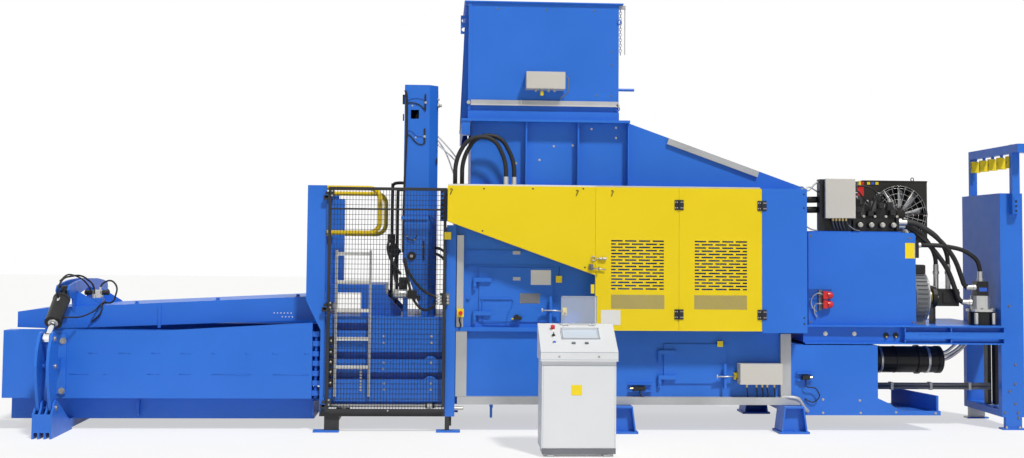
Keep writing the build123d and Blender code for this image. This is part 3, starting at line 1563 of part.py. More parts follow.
with BuildPart() as console_lid:
    hinge = on_panel(console_x + 30, 0.93, 9)
    low = (console_x + 30 - 165, hinge.Y - 3, hinge.Z + 11)
    high = (console_x + 30 + 165, hinge.Y + 3, hinge.Z + 262)
    block(low, high)
    for x in (console_x - 90, console_x + 150):
        block((x - 15, hinge.Y - 3, hinge.Z), (x + 15, hinge.Y + 3, hinge.Z + 30))
        ring((x - 15, hinge.Y, hinge.Z), (x + 15, hinge.Y, hinge.Z), 8, 3 + pin_play)
        bar((x - 15.5, hinge.Y, hinge.Z), (x + 15.5, hinge.Y, hinge.Z), 3 + pin_play, mode=Mode.SUBTRACT)
save(console_lid, "console_lid")

with BuildPart() as console_stop:
    bar(on_panel(switch_x, 0.80, -16), on_panel(switch_x, 0.80, 14), 12)
    bar(on_panel(switch_x, 0.80, 14), on_panel(switch_x, 0.80, 34), 20)
save(console_stop, "console_stop")
with BuildPart() as console_key:
    bar(on_panel(switch_x, 0.55, -26), on_panel(switch_x, 0.55, 16), 14)
    key_plane = Plane(origin=on_panel(switch_x, 0.55, 16), x_dir=(1, 0, 0), z_dir=panel_normal)
    with BuildSketch(key_plane) as key_grip:
        Rectangle(6, 26)
    extrude(key_grip.sketch, amount=22)
save(console_key, "console_key")
with BuildPart() as console_button:
    bar(on_panel(switch_x, 0.32, -16), on_panel(switch_x, 0.32, 10), 14)
save(console_button, "console_button")
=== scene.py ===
from math import atan, cos, pi, radians, sin

import bmesh
import bpy
from mathutils import Matrix, Vector


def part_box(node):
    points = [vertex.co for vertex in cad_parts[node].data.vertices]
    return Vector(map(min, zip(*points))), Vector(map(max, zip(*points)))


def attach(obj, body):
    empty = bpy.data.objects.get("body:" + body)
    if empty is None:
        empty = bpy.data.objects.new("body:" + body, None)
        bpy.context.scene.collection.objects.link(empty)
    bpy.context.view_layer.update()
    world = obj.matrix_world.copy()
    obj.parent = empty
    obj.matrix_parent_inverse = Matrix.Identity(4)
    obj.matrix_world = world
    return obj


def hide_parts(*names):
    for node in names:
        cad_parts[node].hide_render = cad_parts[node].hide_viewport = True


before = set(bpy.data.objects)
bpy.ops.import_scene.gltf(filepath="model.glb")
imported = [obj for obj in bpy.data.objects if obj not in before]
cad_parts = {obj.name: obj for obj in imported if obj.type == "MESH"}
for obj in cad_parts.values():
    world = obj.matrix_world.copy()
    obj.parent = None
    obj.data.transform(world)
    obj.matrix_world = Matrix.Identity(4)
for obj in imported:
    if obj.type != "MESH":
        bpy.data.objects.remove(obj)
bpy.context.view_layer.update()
print("frame loaded", len(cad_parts), "nodes")
scene = bpy.context.scene
world = scene.world or bpy.data.worlds.new("studio")
scene.world = world


# node helpers: an input that is a socket is linked, any other is set
def node(tree, kind, inputs=(), **settings):
    made = tree.nodes.new(kind)
    for name, value in settings.items():
        setattr(made, name, value)
    for name, value in dict(inputs).items():
        if isinstance(value, bpy.types.NodeSocket):
            tree.links.new(value, made.inputs[name])
        else:
            made.inputs[name].default_value = value
    return made


def maths(tree, operation, first, second):
    return node(tree, "ShaderNodeMath", {0: first, 1: second}, operation=operation).outputs["Value"]


def newMaterial(
    name, colour, rough=0.45, metal=0.0, mottle=0.05, grain=160.0, bump=0.05, dust=0.0, wear=0.0,
    wearColour=(0.25, 0.25, 0.26), coat=0.0, alpha=1.0
):
    material = bpy.data.materials.new(name)
    material.use_nodes = True
    tree = material.node_tree
    shader = tree.nodes["Principled BSDF"]
    coords = tree.nodes.new("ShaderNodeTexCoord").outputs["Object"]

    def noise(scale, detail, rough=0.5):
        inputs = {"Vector": coords, "Scale": scale, "Detail": detail, "Roughness": rough}
        return node(tree, "ShaderNodeTexNoise", inputs).outputs["Fac"]

    def remap(value, ends):
        return node(tree, "ShaderNodeMapRange", {"Value": value, **ends}).outputs["Result"]

    def blend(factor, base, tint):
        inputs = {"B": (*tint, 1), "Factor": factor, "A": base}
        return node(tree, "ShaderNodeMix", inputs, data_type="RGBA").outputs["Result"]

    tone = node(tree, "ShaderNodeValToRGB", {"Fac": noise(1.7, 5.0)})
    dark, light = tone.color_ramp.elements
    dark.position = 0.3
    light.position = 0.7
    dark.color = [max(c * (1 - mottle), 0.0) for c in colour] + [1]
    light.color = [min(c * (1 + mottle) + 0.004, 1.0) for c in colour] + [1]
    result = tone.outputs["Color"]
    if dust:  # thickest at the floor, gone at 0.7 m
        height = node(tree, "ShaderNodeSeparateXYZ", {"Vector": coords}).outputs["Z"]
        layer = remap(height, {"From Min": 0.0, "From Max": 0.7, "To Min": dust, "To Max": 0.0})
        result = blend(maths(tree, "MULTIPLY", layer, noise(7.0, 8.0)), result, (0.3, 0.28, 0.25))
    if wear:
        chips = remap(noise(23.0, 12.0, 0.75), {"From Min": 0.74 - wear, "From Max": 0.76 - wear})
        result = blend(chips, result, wearColour)
    sheen = remap(noise(9.0, 6.0), {"To Min": max(rough - 0.1, 0.02), "To Max": min(rough + 0.1, 1.0)})
    relief = node(tree, "ShaderNodeBump", {"Strength": bump, "Distance": 0.002, "Height": noise(grain, 3.0)})
    tree.links.new(result, shader.inputs["Base Color"])
    tree.links.new(sheen, shader.inputs["Roughness"])
    tree.links.new(relief.outputs["Normal"], shader.inputs["Normal"])
    shader.inputs["Metallic"].default_value = metal
    shader.inputs["Specular IOR Level"].default_value = 0.5 if metal else 0.28
    shader.inputs["Coat Weight"].default_value = coat
    shader.inputs["Coat Roughness"].default_value = 0.15
    shader.inputs["Alpha"].default_value = alpha
    return material


bluePaint = newMaterial(
    "bluePaint", (0.022, 0.155, 0.64), rough=0.42, mottle=0.04, bump=0.06, dust=0.08, wear=0.012,
    wearColour=(0.05, 0.2, 0.6), coat=0.05
)
# a darker copy of the blue paint; on the tower step and the socket recess it is painted shade
darkBlue = newMaterial("darkBlue", (0.02, 0.09, 0.38), rough=0.5, mottle=0.08, dust=0.15)
yellowPaint = newMaterial("yellowPaint", (0.8, 0.6, 0.004), rough=0.4, mottle=0.02, bump=0.04, coat=0.05)
railYellow = newMaterial(
    "railYellow", (0.76, 0.54, 0.01), rough=0.4, wear=0.03, wearColour=(0.35, 0.28, 0.08)
)
darkSteel = newMaterial("darkSteel", (0.022, 0.023, 0.026), rough=0.5, mottle=0.2, bump=0.08, dust=0.1)
blackPaint = newMaterial("blackPaint", (0.012, 0.012, 0.013), rough=0.38, mottle=0.2, bump=0.08)
coolerBlack = newMaterial("coolerBlack", (0.018, 0.015, 0.013), rough=0.55, mottle=0.3, bump=0.1)
galvanised = newMaterial(
    "galvanised", (0.4, 0.41, 0.42), rough=0.5, metal=0.5, mottle=0.16, grain=60.0, bump=0.1
)
bareSteel = newMaterial(
    "bareSteel", (0.52, 0.52, 0.51), rough=0.38, metal=0.85, mottle=0.12, grain=220.0, bump=0.08
)
boltSteel = newMaterial("boltSteel", (0.42, 0.41, 0.38), rough=0.4, metal=0.8, mottle=0.15, grain=300.0)
chrome = newMaterial("chrome", (0.8, 0.8, 0.8), rough=0.14, metal=1.0, mottle=0.03, bump=0.01)
ladderAlloy = newMaterial("ladderAlloy", (0.44, 0.44, 0.43), metal=0.45, mottle=0.12, grain=120.0)
rungAlloy = newMaterial(
    "rungAlloy", (0.72, 0.72, 0.7), rough=0.42, metal=0.3, mottle=0.08, grain=400.0, bump=0.2
)
motorGrey = newMaterial("motorGrey", (0.16, 0.17, 0.18), rough=0.5, mottle=0.12)
boxGrey = newMaterial("boxGrey", (0.56, 0.54, 0.5), mottle=0.03)
consoleWhite = newMaterial("consoleWhite", (0.7, 0.72, 0.75), rough=0.4, mottle=0.025, bump=0.06, dust=0.08)
panelGrey = newMaterial("panelGrey", (0.3, 0.34, 0.4), rough=0.35)
screenGlass = newMaterial("screenGlass", (0.55, 0.62, 0.7), rough=0.12, mottle=0.06, coat=0.6)
hoseRubber = newMaterial("hoseRubber", (0.016, 0.016, 0.017), rough=0.55, mottle=0.25, grain=500.0, bump=0.15)
redPlastic = newMaterial("redPlastic", (0.62, 0.012, 0.012), rough=0.3, coat=0.4)
bluePlastic = newMaterial("bluePlastic", (0.02, 0.1, 0.55), rough=0.3, coat=0.4)
blackPlastic = newMaterial("blackPlastic", (0.015, 0.015, 0.015), rough=0.5, mottle=0.2)
whitePlate = newMaterial("whitePlate", (0.72, 0.72, 0.7), rough=0.4, mottle=0.03)
graphitePlate = newMaterial("graphitePlate", (0.16, 0.17, 0.19), rough=0.4, mottle=0.1)
tagYellow = newMaterial("tagYellow", (0.86, 0.66, 0.02), rough=0.4, mottle=0.04)
clearLid = newMaterial("clearLid", (0.75, 0.8, 0.85), rough=0.1, mottle=0.02, bump=0.0, coat=0.5, alpha=0.25)
brassFitting = newMaterial("brassFitting", (0.6, 0.46, 0.2), rough=0.35, metal=0.9, mottle=0.08)
slotGroups = {
    "blue_paint": (bluePaint, darkBlue), "console_paint": (whitePlate,),
    "bare_steel": (bareSteel, boltSteel), "black_plastic": (blackPlastic,), "hose_rubber": (hoseRubber,),
    "dark_steel": (darkSteel, graphitePlate, coolerBlack), "ladder_alloy": (rungAlloy,),
    "pump_black": (blackPaint,), "yellow_paint": (tagYellow, brassFitting), "galvanised": (galvanised,),
    "box_grey": (boxGrey,), "red_button": (redPlastic,), "motor_grey": (motorGrey, panelGrey),
    "blue_button": (bluePlastic,), "clear_cover": (screenGlass,)
}
slots = {material: slotName for slotName, group in slotGroups.items() for material in group}
print("materials made")

dress = {
    bluePaint: """side_wall_near side_wall_far top_plate clamp_lever_near clamp_lever_far channel_base
        tying_frame latch_upper latch_lower tying_channel needle_tower press_body press_ram
        prepress_flap prepress_cylinder inspection_door_upper inspection_door_lower chamber
        lower_hopper upper_hopper hydraulic_tank motor_platform wire_stand pulley_frame""",
    yellowPaint: "casing_panel casing_door_left casing_door_right", railYellow: "handrails",
    tagYellow: "pump_coupling", darkSteel: "guard_door needle_carriage",
    coolerBlack: "oil_cooler cooler_fan", galvanised: "cable_trays", bareSteel: "guide_roller",
    chrome: "clamp_rod_near clamp_rod_far prepress_rod", ladderAlloy: "ladder", motorGrey: "drive_motor",
    blackPaint: """valve_block hydraulic_pump return_filter main_cylinder
        clamp_cylinder_near clamp_cylinder_far""",
    boxGrey: "junction_boxes", consoleWhite: "console_cabinet", clearLid: "console_lid",
    hoseRubber: "hydraulic_hoses clamp_hoses", redPlastic: "frame_stop_button console_stop",
    bluePlastic: "console_button", blackPlastic: "console_key pulley_1 pulley_2 pulley_3 pulley_4 pulley_5"
}
for material, names in dress.items():
    for name in names.split():
        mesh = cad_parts[name].data
        mesh.materials.clear()
        mesh.materials.append(material)
print("nodes dressed")


def repaint(name, material, low, high):
    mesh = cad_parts[name].data
    mesh.materials.append(material)
    index = len(mesh.materials) - 1
    for face in mesh.polygons:
        if all(low[n] <= face.center[n] <= high[n] for n in range(3)):
            face.material_index = index


near = (0, -1, 0)
rightward = (1, 0, 0)
leftward = (-1, 0, 0)
skyward = (0, 0, 1)
downward = (0, 0, -1)


# helpers for pieces: each rides a body
def link(piece, body):
    scene.collection.objects.link(piece)
    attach(piece, body)
    return piece


def finishMesh(name, bm, material, smooth=False, body="frame"):
    bmesh.ops.recalc_face_normals(bm, faces=bm.faces)
    mesh = bpy.data.meshes.new(name)
    bm.to_mesh(mesh)
    bm.free()
    if smooth:
        mesh.shade_smooth()
    mesh.materials.append(material)
    return link(bpy.data.objects.new(name, mesh), body)


def addBox(bm, low, high, edge=0.002, turn=None):
    size = Vector([abs(b - a) for a, b in zip(low, high)])
    centre = (Vector(low) + Vector(high)) / 2
    verts = bmesh.ops.create_cube(bm, size=1.0)["verts"]
    bmesh.ops.scale(bm, vec=size, verts=verts)
    edges = list({e for v in verts for e in v.link_edges})
    limit = min(edge, min(size) * 0.35)
    rounded = bmesh.ops.bevel(bm, geom=edges, offset=limit, segments=2, profile=0.7, affect="EDGES")
    verts = list({v for f in rounded["faces"] for v in f.verts})
    matrix = Matrix.Translation(centre)
    if turn:
        matrix = matrix @ turn
    bmesh.ops.transform(bm, matrix=matrix, verts=verts)


def boxes(name, entries, material, edge=0.002, body="frame"):
    bm = bmesh.new()
    for low, high, *turn in entries:
        addBox(bm, low, high, edge, *turn)
    return finishMesh(name, bm, material, False, body)


def ringAt(bm, centre, side, other, radius, sides):
    angles = [2 * pi * n / sides for n in range(sides)]
    return [bm.verts.new(centre + (side * cos(a) + other * sin(a)) * radius) for a in angles]


def addLathe(bm, origin, axis, profile, sides=28):
    axis = Vector(axis).normalized()
    side = axis.orthogonal().normalized()
    other = axis.cross(side)
    rings = []
    for along, radius in profile:
        centre = Vector(origin) + axis * along
        flat = radius < 1e-5
        rings.append([bm.verts.new(centre)] if flat else ringAt(bm, centre, side, other, radius, sides))
    for lower, upper in zip(rings, rings[1:]):
        for n in range(sides):
            m = (n + 1) % sides
            if len(lower) == 1 and len(upper) > 1:
                bm.faces.new((lower[0], upper[m], upper[n]))
            elif len(upper) == 1 and len(lower) > 1:
                bm.faces.new((lower[n], lower[m], upper[0]))
            elif len(lower) > 1:
                bm.faces.new((lower[n], lower[m], upper[m], upper[n]))


def turned(name, parts, material, sides=28, smooth=False, body="frame"):
    bm = bmesh.new()
    for origin, axis, profile in parts:
        addLathe(bm, origin, axis, profile, sides)
    return finishMesh(name, bm, material, smooth, body)


def disc(radius, height, edge=0.001):
    edge = min(edge, radius * 0.3, height * 0.4)
    return [(0, 0), (0, radius), (height - edge, radius), (height, radius - edge), (height, 0)]


def softPath(points, steps=7):
    points = [Vector(p) for p in points]
    ends = [points[0] * 2 - points[1]] + points + [points[-1] * 2 - points[-2]]
    path = []
    for a, b, c, d in zip(ends, ends[1:], ends[2:], ends[3:]):
        for n in range(steps):
            t = n / steps
            square = (2 * a - 5 * b + 4 * c - d) * t * t
            path.append(0.5 * (2 * b + (c - a) * t + square + (3 * b - a - 3 * c + d) * t ** 3))
    path.append(points[-1])
    return path


def addTube(bm, points, radius, sides=10, soft=True):
    path = softPath(points) if soft else [Vector(p) for p in points]
    normal = (path[1] - path[0]).orthogonal().normalized()
    rings = []
    for n, point in enumerate(path):
        before = path[max(n - 1, 0)]
        after = path[min(n + 1, len(path) - 1)]
        along = (after - before).normalized()
        normal = (normal - along * normal.dot(along)).normalized()
        rings.append(ringAt(bm, point, normal, along.cross(normal), radius, sides))
    for lower, upper in zip(rings, rings[1:]):
        for m in range(sides):
            k = (m + 1) % sides
            bm.faces.new((lower[m], lower[k], upper[k], upper[m]))
    bm.faces.new(list(reversed(rings[0])))
    bm.faces.new(rings[-1])


def tubes(name, runs, radius, material, sides=10, soft=True, body="frame"):
    bm = bmesh.new()
    for run in runs:
        addTube(bm, run, radius, sides, soft)
    return finishMesh(name, bm, material, True, body)


def ringRun(x, y, z, wide, tall, steps):  # a closed run seen from the front
    angles = [2 * pi * n / steps for n in range(steps + 1)]
    return [(x + wide * cos(a), y, z + tall * sin(a)) for a in angles]


def bentRun(points, steps=9, share=0.45):  # the arcs of the CAD hoses
    points = [Vector(p) for p in points]
    run = [points[0]]
    for before, corner, after in zip(points, points[1:], points[2:]):
        back = before - corner
        ahead = after - corner
        tangent = min(back.length, ahead.length) * share
        back.normalize()
        ahead.normalize()
        centre = corner + (back + ahead).normalized() * tangent / cos(back.angle(ahead) / 2)
        first = corner + back * tangent - centre
        last = corner + ahead * tangent - centre
        run += [centre + first.slerp(last, n / steps).normalized() * first.length for n in range(steps + 1)]
    return run + [points[-1]]


def at(y, *pairs):
    return [(x, y, z) for x, z in pairs]


def plates(front, back, *frames):
    return [((x, front, z), (farX, back, highZ)) for x, z, farX, highZ in frames]


def onFace(y, pairs):
    return [(x, y, z, near) for x, z in pairs]


# Geometry Nodes trees for what repeats
def newTree(name, inputs):
    tree = bpy.data.node_groups.new(name, "GeometryNodeTree")
    identifiers = []
    for label, kind, value in (("Geometry", "Geometry", None), *inputs, ("Finish", "Material", None)):
        socket = tree.interface.new_socket(name=label, in_out="INPUT", socket_type="NodeSocket" + kind)
        if value is not None:
            socket.default_value = value
        identifiers.append(socket.identifier)
    tree.interface.new_socket(name="Geometry", in_out="OUTPUT", socket_type="NodeSocketGeometry")
    return tree, tree.nodes.new("NodeGroupInput").outputs, identifiers[1:]


def closeTree(tree, instances, start):
    real = node(tree, "GeometryNodeRealizeInstances", {"Geometry": instances}).outputs["Geometry"]
    paint = node(tree, "GeometryNodeSetMaterial", {"Geometry": real, "Material": start["Finish"]})
    node(tree, "NodeGroupOutput", {"Geometry": paint.outputs["Geometry"]})


def cylinder(tree, sides, radius, depth):
    inputs = {"Vertices": sides, "Radius": radius, "Depth": depth}
    return node(tree, "GeometryNodeMeshCylinder", inputs).outputs["Mesh"]


def instances(tree, points, instance, rotation=(0, 0, 0)):
    inputs = {"Points": points, "Instance": instance, "Rotation": rotation}
    return node(tree, "GeometryNodeInstanceOnPoints", inputs).outputs["Instances"]


def alignTo(tree, vector):
    return node(tree, "FunctionNodeAlignRotationToVector", {"Vector": vector}, axis="Z").outputs["Rotation"]


def bake(name, tree, verts, values, material, body="frame", facing=None):
    mesh = bpy.data.meshes.new(name + "Points")
    mesh.from_pydata([tuple(v) for v in verts], [], [])
    if facing:
        layer = mesh.attributes.new("facing", "FLOAT_VECTOR", "POINT")
        for n, vector in enumerate(facing):
            layer.data[n].vector = vector
    carrier = bpy.data.objects.new(name + "Points", mesh)
    scene.collection.objects.link(carrier)
    modifier = carrier.modifiers.new("repeat", "NODES")
    modifier.node_group, identifiers = tree
    for identifier, value in zip(identifiers, (*values, material)):
        modifier[identifier] = value
    graph = bpy.context.evaluated_depsgraph_get()
    result = bpy.data.meshes.new_from_object(carrier.evaluated_get(graph))
    result.name = name
    bpy.data.objects.remove(carrier)
    return link(bpy.data.objects.new(name, result), body)


def makeBoltTree():
    sizes = (("Radius", "Float", 0.01), ("Height", "Float", 0.008), ("Sides", "Int", 6))
    tree, start, ids = newTree("boltRows", sizes)
    wide = maths(tree, "MULTIPLY", start["Radius"], 1.45)
    washer = cylinder(tree, 20, wide, maths(tree, "MULTIPLY", start["Height"], 0.4))
    head = cylinder(tree, start["Sides"], start["Radius"], start["Height"])
    lift = node(tree, "ShaderNodeCombineXYZ", {"Z": maths(tree, "MULTIPLY", start["Height"], 0.6)})
    raised = node(tree, "GeometryNodeTransform", {"Geometry": head, "Translation": lift.outputs["Vector"]})
    joined = node(tree, "GeometryNodeJoinGeometry", {"Geometry": washer})
    tree.links.new(raised.outputs["Geometry"], joined.inputs["Geometry"])
    cloud = node(tree, "GeometryNodeMeshToPoints", {"Mesh": start["Geometry"]}).outputs["Points"]
    facing = node(tree, "GeometryNodeInputNamedAttribute", {"Name": "facing"}, data_type="FLOAT_VECTOR")
    upright = alignTo(tree, facing.outputs["Attribute"])
    closeTree(tree, instances(tree, cloud, joined.outputs["Geometry"], upright), start)
    return tree, ids


def makeMeshTree():
    sizes = [("Width", "Float", 1.0), ("Height", "Float", 1.0), ("Columns", "Int", 10), ("Rows", "Int", 10)]
    tree, start, ids = newTree("wireMesh", (*sizes, ("Wire", "Float", 0.001)))
    joined = tree.nodes.new("GeometryNodeJoinGeometry")
    for length, span, count, way, rotation in (
        ("Height", "Width", "Columns", "X", (0, 0, 0)), ("Width", "Height", "Rows", "Z", (0, pi / 2, 0))
    ):
        halves = [maths(tree, "MULTIPLY", start[span], share) for share in (-0.5, 0.5)]
        ends = [node(tree, "ShaderNodeCombineXYZ", {way: half}).outputs["Vector"] for half in halves]
        line = {"Count": start[count], "Start Location": ends[0], "Offset": ends[1]}
        row = node(tree, "GeometryNodeMeshLine", line, mode="END_POINTS").outputs["Mesh"]
        rods = instances(tree, row, cylinder(tree, 6, start["Wire"], start[length]), rotation)
        tree.links.new(rods, joined.inputs["Geometry"])
    closeTree(tree, instances(tree, start["Geometry"], joined.outputs["Geometry"]), start)
    return tree, ids


def makeSpokeTree():
    sizes = [
        ("Count", "Int", 40), ("Inner", "Float", 0.07), ("Outer", "Float", 0.3), ("Wire", "Float", 0.002)
    ]
    tree, start, ids = newTree("spokes", sizes)
    middle = maths(tree, "MULTIPLY", maths(tree, "ADD", start["Inner"], start["Outer"]), 0.5)
    ring = {"Vertices": start["Count"], "Radius": middle}
    circle = node(tree, "GeometryNodeMeshCircle", ring).outputs["Mesh"]
    rod = cylinder(tree, 6, start["Wire"], maths(tree, "SUBTRACT", start["Outer"], start["Inner"]))
    where = tree.nodes.new("GeometryNodeInputPosition").outputs["Position"]
    spokes = instances(tree, circle, rod, alignTo(tree, where))
    tip = node(tree, "GeometryNodeTransform", {"Geometry": spokes, "Rotation": (pi / 2, 0, 0)})
    closeTree(tree, instances(tree, start["Geometry"], tip.outputs["Geometry"]), start)
    return tree, ids


boltTree = makeBoltTree()
meshTree = makeMeshTree()
spokeTree = makeSpokeTree()


def bolts(name, spots, radius, height, material, sides=6, body="frame"):
    facing = [spot[3] for spot in spots]
    values = (radius, height, sides)
    return bake(name, boltTree, [spot[:3] for spot in spots], values, material, body, facing)


print("trees ready")

# bale channel: bolts, weld dashes, clamp fittings
for side, word in ((-1, "near"), (1, "far")):
    face = (0, side, 0)
    straps = [(-6.388, side * 0.77, 0.884, face), (-6.39, side * 0.77, 0.396, face)]
    bolts(f"strapBolts_{word}", straps, 0.022, 0.014, boltSteel, 16, body=f"{word}_wall")
    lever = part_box(f"clamp_lever_{word}")
    sides = ((lever[1].x, rightward), (lever[0].x, leftward))
    ends = [(x, side * y, z, way) for y, z in ((1.111, 0.668), (1.154, 0.933)) for x, way in sides]
    bolts(f"leverPins_{word}", ends, 0.02, 0.012, boltSteel, 16, body=f"{word}_lever")
    feet = [(x, side * 1.127, 0.279, way) for x, way in ((-6.331, rightward), (-6.515, leftward))]
    bolts(f"footPins_{word}", feet, 0.02, 0.012, boltSteel, 16)
    lean = Vector((0, -side * 0.7582, 0.652))
    start = Vector((-6.423, side * 1.154, 0.933))
    collars = [
        (start + lean * 0.215, lean, [(0, 0.06), (0, 0.083), (0.03, 0.083), (0.03, 0.08)]),
        (start + lean * 0.53, lean, [(0, 0.08), (0, 0.083), (0.03, 0.083), (0.031, 0.03)])
    ]
    turned(f"barrelCollars_{word}", collars, blackPaint, 32, body=f"{word}_clamp_barrel")
    gland = [(start + lean * 0.205, lean, [(0, 0.029), (0, 0.046), (0.011, 0.05), (0.011, 0.029)])]
    turned(f"barrelGland_{word}", gland, bareSteel, 32, True, body=f"{word}_clamp_barrel")
    dashes = []
    for z, spans in (
        (0.765, (
            (-6.148, -6.053), (-5.853, -5.735), (-5.535, -5.452), (-5.251, -5.145), (-4.944, -4.892),
            (-4.62, -4.57), (-4.355, -4.296), (-4.04, -3.99)
        )),
        (0.56, (
            (-6.33, -6.136), (-5.994, -5.947), (-5.57, -5.452), (-5.262, -5.145), (-4.944, -4.555),
            (-4.345, -3.99)
        ))
    ):
        dashes += [((a, side * 0.75, z), (b, side * 0.75, z)) for a, b in spans]
    tubes(f"wallWelds_{word}", dashes, 0.004, bluePaint, 6, False, body=f"{word}_wall")

plateSlope = 0.135 / 2.668
tabs = [(x, -0.4, 1.195 + (x + 6.618) * plateSlope, skyward) for x in (-5.77, -4.958, -4.149)]
bolts("plateTabs", tabs, 0.017, 0.022, bluePaint, 8, body="press_plate")
dots = [(-4.372 + 0.034 * n, -0.5155, 1.157, near) for n in range(6)]
dots += [(-4.29 + 0.034 * n, -0.5155, 1.118, near) for n in range(4)]
bolts("plateDots", dots, 0.0045, 0.002, whitePlate, 10, body="press_plate")
stiffeners = [((-5.53, y, 1.0), (-5.5, y + 0.013, 1.222)) for y in (-0.528, 0.515)]
boxes("plateStiffener", stiffeners, bluePaint, 0.003, body="press_plate")
clampValveBody = [((-6.215, -0.4, 1.29), (-6.14, -0.31, 1.372)), ((-6.225, -0.39, 1.3), (-6.13, -0.32, 1.33))]
boxes("clampValveBody", clampValveBody, bareSteel, 0.004, body="press_plate")
turned("clampSolenoids", [
    ((-6.225, -0.355, 1.345), leftward, disc(0.026, 0.08, 0.004)),
    ((-6.13, -0.355, 1.345), rightward, disc(0.026, 0.07, 0.004))
], blackPlastic, 20, body="press_plate")
tubes("clampThinHoses", [
    [
        (-6.36, -0.93, 1.12), (-6.3, -0.93, 1.125), (-6.21, -0.8, 1.125), (-6.15, -0.56, 1.17),
        (-6.1, -0.54, 1.23), (-6.06, -0.5, 1.262)
    ], [(-6.18, -0.53, 1.06), (-6.1, -0.535, 1.14), (-6.08, -0.5, 1.255)],
    [(-6.23, -0.32, 1.33), (-6.31, -0.4, 1.47), (-6.41, -0.56, 1.53), (-6.45, -0.72, 1.47)]
], 0.008, hoseRubber, 8, body="press_plate")
turned("clampFittings", [
    ((-6.423, -0.843, 1.29), (0, -0.652, -0.7582), [(-0.02, 0), (-0.02, 0.016), (0.03, 0.016), (0.03, 0)]),
    ((-6.36, -0.935, 1.12), leftward, disc(0.014, 0.03)), ((-6.2, -0.4, 1.29), skyward, disc(0.016, 0.04)),
    ((-6.16, -0.33, 1.37), skyward, disc(0.015, 0.03))
], bareSteel, 12, body="press_plate")
clampRoutes = [
    [
        (-6.2, -0.4, 1.29), (-6.2, -0.4, 1.42), (-6.29, -0.54, 1.53), (-6.4, -0.795, 1.505),
        (-6.423, -0.908, 1.384), (-6.423, -0.847, 1.311)
    ],
    [
        (-6.16, -0.33, 1.29), (-6.16, -0.33, 1.43), (-6.05, -0.335, 1.48), (-5.98, -0.34, 1.4),
        (-6.02, -0.345, 1.24), (-6.12, -0.345, 1.24)
    ]
]
clampRuns = [bentRun(route) for route in clampRoutes]
clampHoses = tubes("clampHoseRuns", clampRuns, 0.009, hoseRubber, 12, False, body="press_plate")
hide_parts("clamp_hoses")
print("bale channel dressed")

# tying section: guard door, ladder, tower fittings
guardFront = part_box("guard_door")[0].y
guardFrame = [
    ((-3.815, -0.836, 0.205), (-3.787, -0.812, 2.43)), ((-2.668, -0.836, 0.205), (-2.64, -0.812, 2.43)),
    ((-3.787, -0.836, 0.205), (-2.668, -0.812, 0.233)), ((-3.787, -0.836, 2.402), (-2.668, -0.812, 2.43)),
    ((-3.787, -0.834, 2.205), (-2.668, -0.829, 2.22))
]
guardHinges = (0.285, 1.24, 2.35)
for z in guardHinges:
    guardFrame += [
        ((-3.848, guardFront, z), (-3.805, -0.812, z + 0.03)),
        ((-3.8, -0.843, z - 0.02), (-3.76, -0.836, z + 0.05)),
        ((-3.865, -0.838, z - 0.05), (-3.806, -0.826, z - 0.005))
    ]
guardPiece = boxes("guardFrame", guardFrame, darkSteel, 0.002, body="guard")
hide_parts("guard_door")
guardMesh = (1.119, 2.169, 38, 45, 0.0022)  # width, height, columns, rows, wire
bake("guardWires", meshTree, [(-3.2275, -0.82, 1.3175)], guardMesh, darkSteel, "guard")
guardBolts = [(-3.78, -0.843, z + s, near) for z in guardHinges for s in (-0.008, 0.038)]
guardBolts += [(-2.654, -0.836, 0.245, near), (-3.2, -0.836, 0.219, near)]
bolts("guardBolts", guardBolts, 0.006, 0.004, boltSteel, body="guard")

for material, low, high in (
    (bareSteel, (-3.86, -0.725, 0.228), (-2.6, -0.675, 0.276)),
    (darkSteel, (-3.9, -0.8, 0.021), (-3.64, 0.8, 0.235)),
    (darkSteel, (-3.83, -0.8, 0.15), (-2.62, -0.745, 0.205)),
    (darkSteel, (-2.66, -0.8, 0.021), (-2.56, 0.8, 0.16))
):
    repaint("tying_frame", material, low, high)
for n in range(5):
    z = 0.622 + 0.281 * n
    repaint("ladder", rungAlloy, (-3.72, -0.8, z - 0.001), (-3.4, -0.76, z + 0.036))
treads = [
    (x, y, 0.657 + 0.281 * n, skyward) for n in range(5) for x in [-3.7 + 0.028 * m for m in range(11)]
    for y in (-0.79, -0.782)
]
bolts("ladderTreads", treads, 0.003, 0.002, rungAlloy)
panelBolts = onFace(-0.75, (
    (-3.252, 0.944), (-2.777, 0.946), (-3.251, 0.879), (-2.776, 0.882), (-3.248, 0.682), (-2.779, 0.684),
    (-3.252, 0.62), (-3.245, 0.476), (-3.244, 0.417), (-2.78, 0.476), (-2.78, 0.417)
))
panelBolts += [(-3.475, -0.75, 0.41 + 0.03 * n, near) for n in range(9)]
bolts("tyingBolts", panelBolts, 0.008, 0.006, boltSteel)
hingeHeights = (0.896, 0.787, 0.688, 0.589, 0.481)
blocks = [((-3.8, -0.768, z - 0.042), (-3.748, -0.7495, z + 0.042)) for z in hingeHeights]
boxes("hingeBlocks", blocks, blackPaint, 0.008)
dome = [(0, 0.014), (0.006, 0.013), (0.01, 0.007), (0.011, 0)]
turned("hingeCaps", [((-3.774, -0.767, z), near, dome) for z in hingeHeights], boltSteel, 16, True)

